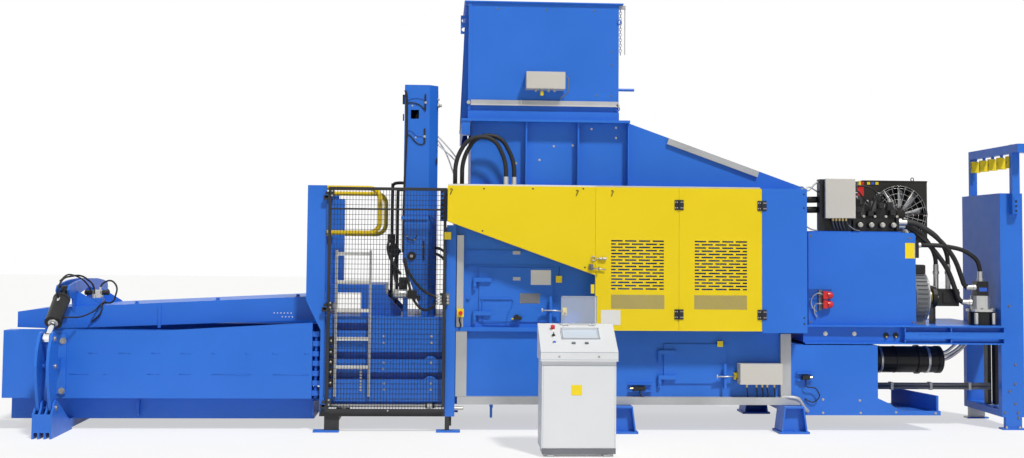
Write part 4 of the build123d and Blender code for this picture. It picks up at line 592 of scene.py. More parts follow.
turned("towerDisc", [
    ((-2.991, -0.549, 1.745), near, disc(0.045, 0.014)), ((-2.991, -0.562, 1.745), near, disc(0.03, 0.012))
], darkSteel, 24)
turned("towerDiscCentre", [((-2.991, -0.573, 1.745), near, disc(0.016, 0.008))], boltSteel, 16)
tubes("towerCables", [
    at(-0.556, (-3.052, 3.313), (-2.998, 3.313), (-2.933, 3.295), (-2.9, 3.27), (-2.875, 3.237)),
    at(
        -0.556, (-3.052, 2.993), (-3.019, 2.972), (-2.976, 2.922), (-2.94, 2.893), (-2.9, 2.886),
        (-2.874, 2.903)
    ), at(-0.556, (-2.868, 1.9), (-2.866, 1.82), (-2.868, 1.7)),
    [(-3.043, -0.556, 1.955), (-3.02, -0.566, 1.915), (-2.965, -0.566, 1.91), (-2.94, -0.556, 1.955)]
], 0.0055, blackPlastic, 8)
tubes("towerSideCable", [
    [
        (-3.078, -0.558, 3.44), (-3.062, -0.56, 3.36), (-3.058, -0.56, 3.0), (-3.07, -0.56, 2.6),
        (-3.08, -0.558, 2.2), (-3.08, -0.558, 1.78)
    ]
], 0.011, blackPlastic, 10)
tubes("towerThinWires", [
    at(-0.553, (-3.052, 3.338), (-2.998, 3.356), (-2.93, 3.357), (-2.875, 3.34)),
    at(-0.553, (-3.052, 3.014), (-3.03, 3.025), (-3.0, 3.014), (-2.962, 2.978), (-2.9, 2.965))
], 0.003, darkBlue, 6)
boxes("towerSensors", [
    ((-2.879, -0.562, 3.234), (-2.863, -0.549, 3.403)), ((-2.882, -0.562, 2.896), (-2.866, -0.549, 3.05)),
    ((-2.879, -0.56, 1.724), (-2.868, -0.549, 1.9))
], blackPlastic, 0.002)
boxes("towerConnectors", [
    ((-3.105, -0.53, 3.302), (-3.066, -0.49, 3.4)), ((-3.1, -0.53, 3.13), (-3.088, -0.49, 3.2)),
    ((-2.752, -0.5, 2.7), (-2.738, -0.44, 2.75))
], blackPlastic, 0.004)
turned("towerEndFittings", [
    (
        (-2.745, -0.47, 3.297), rightward,
        [(0, 0), (0, 0.022), (0.02, 0.022), (0.022, 0.015), (0.042, 0.015), (0.044, 0)]
    ), ((-2.745, -0.47, 3.36), rightward, disc(0.01, 0.02, 0.003))
], boltSteel, 16)
towerBolts = onFace(-0.549, ((-3.004, 3.284), (-2.966, 2.957)))
towerBolts += onFace(-0.562, ((-2.868, 3.317), (-2.874, 2.968)))
bolts("towerBolts", towerBolts, 0.009, 0.004, boltSteel, 12)
boxes("cableTies", [
    ((-3.045, -0.572, 1.94), (-3.03, -0.552, 1.95)), ((-2.97, -0.575, 1.905), (-2.955, -0.555, 1.915)),
    ((-2.885, -0.56, 1.835), (-2.86, -0.552, 1.842))
], tagYellow, 0.002)
tubes("towerPipes", [
    at(
        -0.2, (-3.206, 1.14), (-3.206, 1.7), (-3.206, 2.42), (-3.195, 2.49), (-3.15, 2.506), (-3.083, 2.506)
    ), at(-0.2, (-3.15, 1.14), (-3.15, 1.7), (-3.15, 2.36), (-3.14, 2.43), (-3.12, 2.435), (-3.083, 2.435))
], 0.017, blackPaint, 10)
tubes("towerHoses", [
    [
        (-3.062, -0.56, 1.72), (-3.03, -0.62, 1.61), (-2.96, -0.7, 1.5), (-2.86, -0.76, 1.4),
        (-2.73, -0.785, 1.335)
    ],
    [
        (-3.054, -0.565, 1.66), (-3.02, -0.66, 1.5), (-2.97, -0.745, 1.33), (-2.9, -0.775, 1.235),
        (-2.84, -0.78, 1.21), (-2.775, -0.785, 1.235), (-2.73, -0.785, 1.3)
    ], [(-3.2, -0.25, 1.98), (-3.24, -0.4, 1.84), (-3.2, -0.5, 1.7), (-3.1, -0.54, 1.56)],
    [(-3.13, -0.3, 1.78), (-3.17, -0.45, 1.66), (-3.15, -0.56, 1.5), (-3.08, -0.66, 1.42)],
    [(-2.76, -0.45, 1.83), (-2.7, -0.55, 1.82), (-2.63, -0.62, 1.76), (-2.6, -0.66, 1.66)],
    [(-2.76, -0.45, 1.77), (-2.71, -0.55, 1.755), (-2.65, -0.62, 1.7), (-2.61, -0.66, 1.6)]
], 0.014, hoseRubber, 10)
tilt = Matrix.Rotation(radians(-38), 4, "Y")
boxes("tyingValves", [
    ((-3.115, -0.62, 1.4), (-3.03, -0.548, 1.53)), ((-3.1, -0.635, 1.36), (-3.05, -0.55, 1.42)),
    ((-3.235, -0.28, 1.74), (-3.13, -0.19, 1.87), tilt), ((-3.25, -0.28, 1.88), (-3.17, -0.2, 1.97))
], blackPaint, 0.01)
feedDriveArm = [
    ((-3.045, -0.72, 1.325), (-3.005, -0.548, 1.385)), ((-3.07, -0.7, 1.14), (-3.02, -0.66, 1.33))
]
boxes("feedDriveArm", feedDriveArm, bluePaint, 0.004)
turned("feedDrive", [
    (
        (-3.17, -0.745, 1.368), rightward,
        [(0, 0), (0, 0.03), (0.02, 0.045), (0.13, 0.045), (0.14, 0.036), (0.15, 0.036), (0.15, 0)]
    )
], bareSteel, 28, True)
feedDriveHead = [
    ((-3.02, -0.785, 1.32), (-2.93, -0.705, 1.405)), ((-2.93, -0.78, 1.3), (-2.892, -0.71, 1.355))
]
boxes("feedDriveHead", feedDriveHead, blackPaint, 0.008)
boxes("couplerPlate", [((-2.7, -0.782, 1.26), (-2.6, -0.768, 1.38))], graphitePlate, 0.004)
couplers = [
    ((x, -0.782, z), near, disc(0.013, 0.045, 0.003)) for x in (-2.725, -2.69, -2.655, -2.62)
    for z in (1.285, 1.315, 1.345)
]
turned("couplers", couplers, boltSteel, 12)
capDisc = disc(0.0155, 0.014, 0.003)
caps = [((x, -0.8, z), near, capDisc) for x in (-2.725, -2.655) for z in (1.285, 1.345)]
turned("couplerCaps", caps, blackPlastic, 12)
boxes("boltedPlate", [((-2.705, -0.735, 2.1), (-2.562, -0.715, 2.43))], bluePaint, 0.006)
row = [(-2.685, -0.735, 2.13 + 0.045 * n, near) for n in range(7)]
bolts("boltedPlateBolts", row, 0.009, 0.007, darkSteel)
boxes("hangingTagA", [((-2.66, -0.846, 1.915), (-2.594, -0.838, 1.99))], tagYellow, 0.004, body="guard")
tubes("silverTubes", [
    at(-0.5, (-2.737, 2.975), (-2.62, 2.85), (-2.529, 2.735)),
    at(-0.5, (-2.737, 2.89), (-2.63, 2.8), (-2.529, 2.7)),
    [(-2.737, -0.46, 2.94), (-2.65, -0.47, 2.8), (-2.56, -0.5, 2.56)]
], 0.007, bareSteel, 8)
nuts = [((x, -0.7, 0.252), rightward, disc(0.028, 0.02, 0.004)) for x in (-2.83, -2.757)]
turned("railNut", nuts, darkSteel, 12)
turned("baseBolts", [((-2.5395, -0.765, 0.235), rightward, disc(0.017, 0.09, 0.004))], boltSteel, 12)
# the tower's step and chamfer, coloured dark blue: painted shade where the step's shadow falls
stepTurn = Matrix.Rotation(radians(48), 4, "Y")
boxes("towerStepPaintedShade", [
    ((-3.06, -0.56, 2.13), (-2.828, -0.549, 2.152)),
    ((-2.826, -0.558, 2.131), (-2.748, -0.545, 2.147), stepTurn)
], darkBlue, 0.001)
print("tying section dressed")

# press body and inspection doors, with their front faces
bodyFace = -0.7195
doorFace = -0.7345
boxes("doorPlates", [
    ((-1.968, -0.7335, 1.771), (-1.892, bodyFace, 1.806)),
    ((-1.965, -0.7365, 1.51), (-1.889, doorFace, 1.544))
], galvanised, 0.001, body="upper_door")
for name, low, high, tint in (
    ("barePlateWhiteA", (-1.784, 1.467), (-1.581, 1.616), whitePlate),
    ("barePlateDark", (-1.893, 1.28), (-1.691, 1.381), graphitePlate)
):
    boxes(name, plates(-0.737, -0.7346, (*low, *high)), tint, 0.001, body="upper_door")
rivets = [(x, -0.737, z, near) for x in (-1.885, -1.699) for z in (1.287, 1.374)]
bolts("plateRivets", rivets, 0.003, 0.002, boltSteel, 8, body="upper_door")
boxes("hangingTagB", [((-1.535, -0.775, 1.492), (-1.472, -0.768, 1.56))], tagYellow, 0.004)
tagCordB = [[(-1.505, -0.77, 1.555), (-1.5, -0.765, 1.6), (-1.495, -0.735, 1.65)]]
tubes("tagCordB", tagCordB, 0.003, blackPlastic, 6)
boxes("doorLedges", [((-2.29, -0.75, 1.318), (-1.985, doorFace, 1.332))], bluePaint, 0.003, body="upper_door")
boxes("wallLedges", plates(
    -0.742, -0.7205, (-2.43, 1.318, -2.395, 1.332), (-2.43, 1.64, -2.395, 1.652),
    (-2.43, 1.797, -2.395, 1.809)
), bluePaint, 0.003)
tubes("sensorCable", [
    [
        (-1.985, -0.742, 1.325), (-1.965, -0.745, 1.315), (-1.97, -0.742, 1.26), (-2.01, -0.74, 1.18),
        (-2.02, -0.74, 1.1), (-2.0, -0.745, 1.055)
    ],
    [
        (-2.27, -0.742, 1.31), (-2.275, -0.74, 1.16), (-2.255, -0.742, 1.095), (-2.15, -0.742, 1.085),
        (-1.97, -0.742, 1.083), (-1.93, -0.752, 1.11)
    ]
], 0.004, bluePaint, 6, body="upper_door")
boxes("limitSwitch", [
    ((-1.955, -0.775, 1.118), (-1.875, doorFace, 1.15)), ((-1.945, -0.768, 1.15), (-1.905, doorFace, 1.166))
], blackPlastic, 0.004, body="upper_door")
limitSwitchTip = [((-1.956, -0.755, 1.126), leftward, disc(0.008, 0.02))]
turned("limitSwitchTip", limitSwitchTip, tagYellow, 12, body="upper_door")
for name, bar, x, z, body in (
    ("latchBar", ((-1.68, 1.215), (-1.56, 1.213), (-1.46, 1.207)), -1.672, 1.215, "upper_latch"),
    ("lowerLatchBar", ((0.1, 0.56), (0.2, 0.56), (0.272, 0.562)), 0.106, 0.56, "lower_latch")
):
    run = [(barX, y, barZ) for (barX, barZ), y in zip(bar, (-0.795, -0.797, -0.797))]
    runs = [run, at(-0.795, (x, z - 0.02), (x, z + 0.02))]
    tubes(name, runs, 0.007, bareSteel, 10, False, body=body)
boxes("latchLock", [((-1.463, -0.77, 1.165), (-1.42, bodyFace, 1.24))], tagYellow, 0.004)
turned("latchLockCore", [
    ((-1.441, -0.77, 1.182), near, disc(0.012, 0.008, 0.003)),
    ((0.308, -0.77, 0.537), near, disc(0.008, 0.008, 0.003))
], blackPlastic, 16)
boxes("lowerLatchLock", [((0.284, -0.77, 0.528), (0.32, -0.7205, 0.596))], tagYellow, 0.004)
bolts("bodyBolts", onFace(bodyFace, ((-1.25, 0.33), (-0.3, 0.33), (0.65, 0.33))), 0.01, 0.007, boltSteel)
boxes("boxBrackets", plates(
    -0.752, bodyFace, (-0.79, 0.47, -0.55, 0.482), (-0.79, 0.4, -0.55, 0.412), (0.93, 0.585, 1.095, 0.597),
    (0.93, 0.515, 1.095, 0.527)
), bluePaint, 0.003)
boxSwitches = plates(-0.78, bodyFace, (-0.74, 0.415, -0.62, 0.452), (0.985, 0.53, 1.06, 0.57))
boxes("boxSwitches", boxSwitches, blackPlastic, 0.004)
turned("boxSwitchTips", [
    ((-0.745, -0.755, 0.434), leftward, disc(0.009, 0.03)),
    ((1.06, -0.755, 0.55), rightward, disc(0.011, 0.03))
], brassFitting, 12)
tubes("switchCables", [
    [(-0.68, -0.76, 0.415), (-0.66, -0.765, 0.36), (-0.55, -0.76, 0.33), (-0.35, -0.76, 0.325)],
    [
        (1.02, -0.76, 0.53), (1.03, -0.765, 0.46), (1.12, -0.765, 0.44), (1.16, -0.76, 0.36),
        (1.1, -0.745, 0.3), (1.02, -0.73, 0.33)
    ]
], 0.006, blackPlastic, 8)
glandSpots = (0.405, 0.504, 0.563, 0.613, 0.685)
gland = [(0, 0), (0, 0.013), (0.012, 0.013), (0.014, 0.01), (0.034, 0.01), (0.036, 0.006)]
turned("bodyBoxGlands", [((x, -0.8, 0.4885), downward, gland) for x in glandSpots], brassFitting, 12)
tubes("bodyBoxCables", [
    [(x, -0.8, 0.454), (x + 0.004, -0.8, 0.42), (x + 0.012, -0.785, 0.38), (x + 0.014, -0.765, 0.352)]
    for x in glandSpots
], 0.007, blackPlastic, 8)
tubes("floorConduit", [
    [(0.76, -0.76, 0.345), (0.86, -0.78, 0.35), (0.94, -0.78, 0.33), (1.0, -0.76, 0.25), (1.06, -0.7, 0.2)]
], 0.022, galvanised, 10)
bodyHook = [((-2.185, -0.735, 0.235), (-2.155, -0.6, 0.271)), ((-2.182, -0.68, 0.13), (-2.158, -0.62, 0.25))]
boxes("bodyHook", bodyHook, bluePaint, 0.003)
boxes("hangingTagC", [((0.114, -0.76, 0.856), (0.172, -0.7505, 0.914))], tagYellow, 0.004)
bolts("chuteBolts", onFace(
    -0.7205, ((1.21, 0.325), (1.591, 0.315), (1.967, 0.196), (1.21, 0.19), (1.6, 0.19), (2.38, 0.187))
), 0.009, 0.006, boltSteel)
repaint("junction_boxes", tagYellow, (-2.55, -0.84, 1.13), (-2.44, -0.75, 1.24))
stopCable = [[(-2.495, -0.79, 1.143), (-2.5, -0.8, 1.11), (-2.485, -0.795, 1.06), (-2.5, -0.78, 1.03)]]
tubes("stopCable", stopCable, 0.008, blackPlastic, 8)
print("press body dressed")

# yellow casing, with its front face and the back of its plates
casingFace = -0.98
platesBack = -0.9803
screws = onFace(
    casingFace, ((-2.275, 2.42), (-1.788, 2.426), (-1.285, 2.432), (-2.285, 2.002), (-1.265, 1.65))
)
bolts("casingScrews", screws, 0.006, 0.003, darkSteel)


def hook(x):
    return [
        (x - 0.008, -0.981, 2.413), (x + 0.008, -0.986, 2.416), (x + 0.012, -0.986, 2.4),
        (x, -0.986, 2.385), (x, -0.986, 2.37), (x - 0.01, -0.983, 2.362)
    ]


tubes("casingHooks", [hook(-2.601), hook(-1.349)], 0.0035, darkSteel, 6)
tubes("doorHook", [hook(-0.998)], 0.0035, darkSteel, 6, body="left_casing_door")
for word, left, body in (("A", -0.998, "left_casing_door"), ("B", -0.166, "right_casing_door")):
    holes = [
        (left + 0.0148 * n + 0.0074 * (m % 2), casingFace, 1.379 - 0.0088 * m, near) for n in range(36)
        for m in range(16)
    ]
    bolts(f"smallVents{word}", holes, 0.0034, 0.0012, graphitePlate, body=body)
for name, x, body in (
    ("_left_casing_door_1250", -0.35, "left_casing_door"),
    ("_right_casing_door_1194", -0.294, "right_casing_door"),
    ("_right_casing_door_412", 0.488, "right_casing_door"), ("Fixed", 0.544, "frame")
):
    leafScrews = [
        (x + dx, -0.988, z + dz, near) for z in (1.142, 2.23) for dx in (-0.009, 0.009)
        for dz in (0.022, 0.078)
    ]
    bolts("leafScrews" + name, leafScrews, 0.0045, 0.003, boltSteel, body=body)
for name, low, high in (
    ("casing_door_left", -0.4, -0.25), ("casing_door_right", -0.4, -0.25),
    ("casing_door_right", 0.44, 0.53), ("chamber", 0.44, 0.62)
):
    repaint(name, darkSteel, (low, -1.01, 1.0), (high, -0.9805, 2.45))
repaint("casing_panel", whitePlate, (-2.62, -0.99, 2.4485), (0.56, -0.9, 2.475))
boxes("casingTag", [((-1.205, -0.9825, 1.393), (-1.17, platesBack, 1.483))], tagYellow, 0.0008)
boxes("casingLock", [
    ((-1.225, -1.012, 1.625), (-1.185, casingFace, 1.685)), ((-1.213, -1.024, 1.64), (-1.197, -1.01, 1.672))
], graphitePlate, 0.004)
tubes("casingBolt", [
    at(-1.0, (-1.185, 1.64), (-1.12, 1.638), (-1.06, 1.63)),
    [(-1.13, -1.0, 1.638), (-1.128, -1.015, 1.655), (-1.128, -1.02, 1.62)]
], 0.007, boltSteel, 8, False, body="left_casing_door")
ring = ringRun(-1.18, -0.99, 1.739, 0.022, 0.022, 12)
tubes("casingRing", [ring, [(-1.158, -0.99, 1.739), (-1.12, -0.992, 1.739)]], 0.005, boltSteel, 8, False)
turned("casingCatch", [
    ((-1.125, -0.995, 1.739), rightward, disc(0.014, 0.03)),
    ((-1.088, -0.995, 1.739), rightward, disc(0.016, 0.035))
], boltSteel, 14, body="left_casing_door")
barePlateWhiteB = [((-1.103, -0.9822, 1.084), (-0.908, platesBack, 1.231))]
boxes("barePlateWhiteB", barePlateWhiteB, whitePlate, 0.0008, body="left_casing_door")
panelBolts = [(0.943, platesBack, z, near) for z in (2.4, 2.264, 1.164, 1.104)]
bolts("endPanelBolts", panelBolts, 0.006, 0.004, darkSteel)
print("casing dressed")

# hoppers
hoodBolts = onFace(-0.62, (
    (-1.937, 2.701), (-1.697, 2.738), (-1.551, 2.881), (-1.356, 2.891), (-0.91, 2.975), (-0.911, 3.08),
    (-1.164, 3.064)
))
bolts("hoodBolts", hoodBolts, 0.008, 0.006, boltSteel)
hopperBolts = onFace(-0.65, (
    (-2.138, 4.285), (-1.641, 4.283), (-1.146, 4.283), (-0.965, 3.86), (-0.965, 3.72), (-0.964, 3.404),
    (-1.119, 3.405)
))
bolts("hopperBolts", hopperBolts, 0.007, 0.005, graphitePlate)
boxes("hopperBoxLid", [((-1.851, -0.812, 3.449), (-1.455, -0.795, 3.623))], boxGrey, 0.006)
glands = [((x, -0.76, 3.452), downward, disc(0.014, 0.03, 0.004)) for x in (-1.75, -1.69, -1.62, -1.56)]
turned("hopperBoxGlands", glands, galvanised, 12)
turned("hopperBoxLamp", [((-1.69, -0.765, 3.423), downward, disc(0.018, 0.04, 0.006))], tagYellow, 14)
tubes("hopperBoxCable", [
    [
        (-1.457, -0.74, 3.585), (-1.425, -0.74, 3.58), (-1.418, -0.74, 3.54), (-1.42, -0.73, 3.43),
        (-1.45, -0.7, 3.4), (-1.5, -0.68, 3.36)
    ]
], 0.006, graphitePlate, 8)
hopperTrunking = [
    ((-2.41, -0.684, 3.286), (-0.91, -0.6805, 3.3)), ((-1.9, -0.685, 3.288), (-1.888, -0.6803, 3.344))
]
boxes("hopperTrunking", hopperTrunking, bareSteel, 0.001)
links = []
for n in range(17):
    turn = 0 if n % 2 else pi / 2
    links.append([
        (
            -0.866 + 0.012 * cos(a) * cos(turn), -0.6 + 0.012 * cos(a) * sin(turn),
            4.3 - 0.028 * n + 0.019 * sin(a)
        ) for a in [m * pi / 6 for m in range(13)]
    ])
tubes("hopperChain", links, 0.003, boltSteel, 6, False)
hopperRod = [
    ((-0.826, -0.605, 3.84), (-0.816, -0.595, 4.349)), ((-0.89, -0.62, 4.315), (-0.816, -0.58, 4.349))
]
boxes("hopperRod", hopperRod, galvanised, 0.002)
boxes("hopperEdges", [((-2.437, -0.66, 3.24), (-2.405, -0.6495, 4.349))], bluePaint, 0.002)
hopperPinCaps = [
    ((-2.43, -0.66, 3.315), near, disc(0.02, 0.02)), ((-0.9, -0.66, 3.3), near, disc(0.018, 0.02))
]
turned("hopperPinCaps", hopperPinCaps, boltSteel, 14)
hoodEnd = [(0, 0), (0, 0.03), (0.03, 0.03), (0.034, 0.026), (0.1, 0.026), (0.1, 0.02)]
hoodEnds = [(spot, skyward, hoodEnd) for spot in ((-2.05, -0.835, 2.45), (-1.965, -0.785, 2.45))]
turned("hoodHoseEnds", hoodEnds, bareSteel, 20)
for name, x, y, z in (("hopperEye", -0.885, -0.655, 4.168), ("trunkingEye", -0.902, -0.665, 3.271)):
    tubes(name, [ringRun(x, y, z, 0.02, 0.022, 16)], 0.006, bluePaint, 8, False)
print("hoppers dressed")

# power unit: fan and motor axes, tank front
fanX, fanZ = 2.27, 2.242
motorY, motorZ = -0.3, 1.36
tankFace = -0.6003
tankScrews = onFace(-0.6, ((1.125, 1.99), (2.17, 1.975), (1.125, 1.1), (2.2, 1.105)))
bolts("tankScrews", tankScrews, 0.009, 0.004, graphitePlate, 12)
boxes("barePlateYellowA", [((2.12, -0.6025, 1.765), (2.222, tankFace, 1.925))], tagYellow, 0.001)
# a thin dark-blue sheet on the tank face: painted shade of the socket recess
boxes("socketRecessPaintedShade", [((1.105, -0.604, 1.355), (1.34, tankFace, 1.441))], darkBlue, 0.002)
boxes("socketPlate", [((1.2, -0.625, 1.225), (1.235, tankFace, 1.435))], graphitePlate, 0.003)
socketHeights = (1.38, 1.285)
sockets = [((1.235, -0.665, z - 0.042), (1.285, tankFace, z + 0.042)) for z in socketHeights]
boxes("powerSockets", sockets, redPlastic, 0.008)
plug = [(0, 0.036), (0.03, 0.036), (0.045, 0.034), (0.055, 0.024), (0.056, 0)]
turned("powerPlugs", [((1.285, -0.638, z), rightward, plug) for z in socketHeights], redPlastic, 24, True)
tubes("powerCables", [
    [
        (1.24, -0.64, 1.385), (1.19, -0.65, 1.4), (1.14, -0.63, 1.37), (1.12, -0.62, 1.31),
        (1.135, -0.62, 1.25), (1.18, -0.615, 1.21)
    ],
    [
        (1.24, -0.64, 1.29), (1.2, -0.65, 1.295), (1.16, -0.63, 1.28), (1.15, -0.62, 1.22),
        (1.18, -0.615, 1.15)
    ]
], 0.007, galvanised, 8)
boxes("unitBoxBase", [((1.3, -0.46, 2.042), (1.6, -0.3, 2.178))], blackPaint, 0.006)
boxes("unitBoxLid", [((1.286, -0.59, 2.176), (1.604, -0.572, 2.586))], boxGrey, 0.006)
glandRow = (1.39, 1.425, 1.46, 1.495, 1.53)
glands = [((x, -0.5, 2.182), downward, disc(0.013, 0.035, 0.004)) for x in glandRow]
turned("unitBoxGlands", glands, brassFitting, 12)
cables = [
    [(x, -0.5, 2.15), (x + 0.01, -0.49, 2.11), (x + 0.03, -0.47, 2.07), (x + 0.05, -0.44, 2.045)]
    for x in glandRow[:4]
]
cables.append([(1.53, -0.5, 2.15), (1.55, -0.54, 2.1), (1.6, -0.56, 2.06), (1.66, -0.55, 2.045)])
tubes("unitBoxCables", cables, 0.007, graphitePlate, 8)
repaint("junction_boxes", blackPaint, (1.235, -0.56, 2.03), (1.2895, -0.43, 2.59))
pipes = [[(0.974, -0.3, z), (1.1, -0.3, z), (1.245, -0.44, z)] for z in (2.372, 2.266)]
tubes("sidePipes", pipes, 0.034, blackPaint, 14, False)
tubes("sideCables", [
    [(0.974, -0.6, 2.42), (1.03, -0.58, 2.5), (1.12, -0.52, 2.46), (1.2, -0.5, 2.53), (1.245, -0.5, 2.56)],
    [
        (0.974, -0.6, 2.36), (1.02, -0.58, 2.3), (1.06, -0.55, 2.14), (1.13, -0.53, 2.07),
        (1.22, -0.52, 2.045)
    ], [(0.974, -0.58, 2.46), (1.05, -0.54, 2.41), (1.13, -0.5, 2.5), (1.24, -0.48, 2.45)]
], 0.008, galvanised, 8)
sideLine = [[(0.974, -0.62, 1.17), (1.03, -0.63, 1.16), (1.045, -0.63, 1.12), (1.05, -0.63, 1.085)]]
tubes("sideLine", sideLine, 0.008, galvanised, 8)

spokes = (24, 0.07, 0.302, 0.0022)  # count, inner and outer radius, wire
bake("fanSpokes", spokeTree, [(fanX, -0.027, fanZ)], spokes, bareSteel)
hoops = [ringRun(fanX, -0.029, fanZ, radius, radius, 48) for radius in (0.1, 0.16, 0.22, 0.28, 0.304)]
tubes("fanHoops", hoops, 0.0018, bareSteel, 6, False)
turned("fanCentre", [
    ((fanX, -0.022, fanZ), near, disc(0.07, 0.012, 0.004)),
    ((fanX, -0.034, fanZ), near, disc(0.035, 0.02, 0.005))
], coolerBlack, 28)
bladeGrey = newMaterial("bladeGrey", (0.62, 0.63, 0.65), rough=0.35, metal=0.2, mottle=0.1)
slots[bladeGrey] = "dark_steel"
repaint("cooler_fan", bladeGrey, (1.9, 0.0, 1.9), (2.6, 0.2, 2.6))
bm = bmesh.new()
for n in range(10):
    angle = 2 * pi * n / 10
    outward = Vector((cos(angle), 0, sin(angle)))
    along = Vector((-sin(angle), 0, cos(angle)))
    root = Vector((fanX, 0.045, fanZ))
    rows = []
    for m in range(9):
        reachOut = 0.058 + 0.225 * m / 8
        lean = radians(40 - 14 * m / 8)
        chord = 0.035 + 0.05 * sin(m / 8 * pi * 0.62)
        sweep = along * (0.05 * (m / 8) ** 2)
        chordLine = along * cos(lean) + Vector(near) * sin(lean)
        rows.append([
            bm.verts.new(
                root + outward * reachOut + sweep + chordLine * chord * s + Vector((0, side * 0.0015, 0))
            ) for side in (-1, 1) for s in (-0.5, 0.0, 0.5)
        ])
    for a, b in zip(rows, rows[1:]):
        for i, j in ((0, 1), (1, 2), (5, 4), (4, 3)):
            bm.faces.new((a[i], a[j], b[j], b[i]))
        bm.faces.new((a[0], b[0], b[3], a[3]))
        bm.faces.new((a[2], a[5], b[5], b[2]))
    for row, quads in ((rows[0], ((0, 3, 4, 1), (1, 4, 5, 2))), (rows[-1], ((1, 4, 3, 0), (2, 5, 4, 1)))):
        for quad in quads:
            bm.faces.new([row[i] for i in quad])
hub = [(0, 0.02), (0, 0.062), (0.05, 0.062), (0.056, 0.05), (0.058, 0.018)]
addLathe(bm, (fanX, 0.075, fanZ), near, hub, 32)
fanPiece = finishMesh("fanBlades", bm, bladeGrey, True, body="fan")
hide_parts("cooler_fan")
finSizes = (0.66, 0.66, 80, 12, 0.002)  # width, height, columns, rows, wire
bake("coolerFins", meshTree, [(2.235, 0.2215, 2.244)], finSizes, motorGrey)
coolerRim = plates(-0.004, 0.006, (1.872, 1.882, 2.598, 1.9), (1.872, 2.588, 2.598, 2.606))
boxes("coolerRim", coolerRim, coolerBlack, 0.002)
for n, (x, tint) in enumerate(((1.945, tagYellow), (1.992, bluePlastic), (2.038, tagYellow))):
    tab = [((x - 0.017, -0.0065, 2.56), (x + 0.017, -0.0045, 2.588))]
    boxes(f"coolerTab{n}", tab, tint, 0.0005)
tubes("coolerEye", [ringRun(2.455, 0.06, 2.624, 0.016, 0.018, 16)], 0.005, darkSteel, 8, False)
stays = [[(x, -0.03, 2.5), (fanX, -0.036, fanZ)] for x in (2.1, 2.44)]
tubes("coolerBracket", stays, 0.006, bareSteel, 8, False)

port = [(0, 0.026), (0.02, 0.026), (0.022, 0.02), (0.04, 0.02), (0.04, 0)]
solenoids, caps, fittings = [], [], []
for n, height in enumerate((0.15, 0.11, 0.19, 0.12)):
    x = 1.673 + n * 0.118
    top = 2.18 + height
    solenoids += [
        ((x - 0.03, -0.44, top), (x + 0.03, -0.36, top + 0.055)),
        ((x - 0.028, -0.52, top - 0.085), (x + 0.028, -0.45, top - 0.03))
    ]
    caps.append(((x, -0.4, top + 0.055), skyward, disc(0.018, 0.03, 0.004)))
    fittings += [((x, -0.52, 2.11), near, port), ((x + 0.05, -0.47, 2.2), near, disc(0.014, 0.03))]
boxes("solenoids", solenoids, blackPlastic, 0.005)
turned("solenoidCaps", caps, bareSteel, 16)
turned("valveFittings", fittings, boltSteel, 14)
tubes("valveCables", [
    [(1.673, -0.48, 2.27), (1.7, -0.53, 2.33), (1.76, -0.54, 2.3), (1.79, -0.5, 2.24)],
    [(1.79, -0.48, 2.23), (1.84, -0.54, 2.4), (1.9, -0.54, 2.43), (1.91, -0.49, 2.36)],
    [(1.604, -0.5, 2.45), (1.66, -0.5, 2.46), (1.72, -0.47, 2.4), (1.79, -0.42, 2.345)],
    [(1.604, -0.48, 2.5), (1.7, -0.46, 2.52), (1.82, -0.44, 2.5), (1.91, -0.42, 2.43)],
    [(1.604, -0.46, 2.38), (1.64, -0.44, 2.4), (1.67, -0.42, 2.385)]
], 0.009, blackPlastic, 8)
tubes("valvePipes", [
    [
        (1.65, -0.25, 2.1), (1.65, -0.15, 2.1), (1.65, -0.08, 2.2), (1.7, -0.03, 2.4), (1.8, -0.02, 2.47),
        (1.875, 0.0, 2.47)
    ], [(1.8, -0.25, 2.14), (1.8, -0.16, 2.14), (1.82, -0.08, 2.25), (1.84, 0.02, 2.3), (1.88, 0.04, 2.3)],
    [(1.95, -0.25, 2.12), (1.95, -0.18, 2.12), (1.95, -0.1, 2.05), (1.98, -0.05, 2.045)]
], 0.016, bareSteel, 10)
boxes("unitTabs", [((1.715, -0.36, 2.535), (1.74, -0.32, 2.575))], tagYellow, 0.002)
unitTabsRed = [((1.748, -0.36, 2.54), (1.772, -0.32, 2.57)), ((1.712, -0.345, 2.42), (1.775, -0.335, 2.536))]
boxes("unitTabsRed", unitTabsRed, redPlastic, 0.002)
boxes("manifolds", [
    ((1.6, -0.258, 2.042), (1.74, -0.17, 2.2)), ((1.76, -0.258, 2.042), (1.9, -0.17, 2.26)),
    ((1.92, -0.258, 2.042), (2.06, -0.17, 2.17)), ((2.06, -0.52, 2.05), (2.092, -0.28, 2.19))
], blackPaint, 0.006)
hoseEnd = [(0, 0.02), (0, 0.034), (0.03, 0.034), (0.032, 0.028), (0.1, 0.028), (0.104, 0.024)]
hoseEnds = [(point, way, hoseEnd) for way, points in (
    (rightward, (
        (2.09, -0.455, 2.14), (2.09, -0.4, 2.1), (2.09, -0.35, 2.14), (2.09, -0.3, 2.16),
        (2.232, -0.47, 1.905)
    )), (skyward, ((2.565, -0.3, 1.6), (2.695, -0.3, 1.6), (2.985, -0.44, 1.53))),
    (leftward, ((2.923, -0.462, 1.465), (2.887, -0.44, 1.31)))
) for point in points]
turned("hoseEnds", hoseEnds, bareSteel, 20)
tankSideBlock = [((2.233, -0.52, 1.77), (2.3, -0.4, 1.95)), ((2.233, -0.5, 1.955), (2.27, -0.42, 1.985))]
boxes("tankSideBlock", tankSideBlock, blackPaint, 0.008)
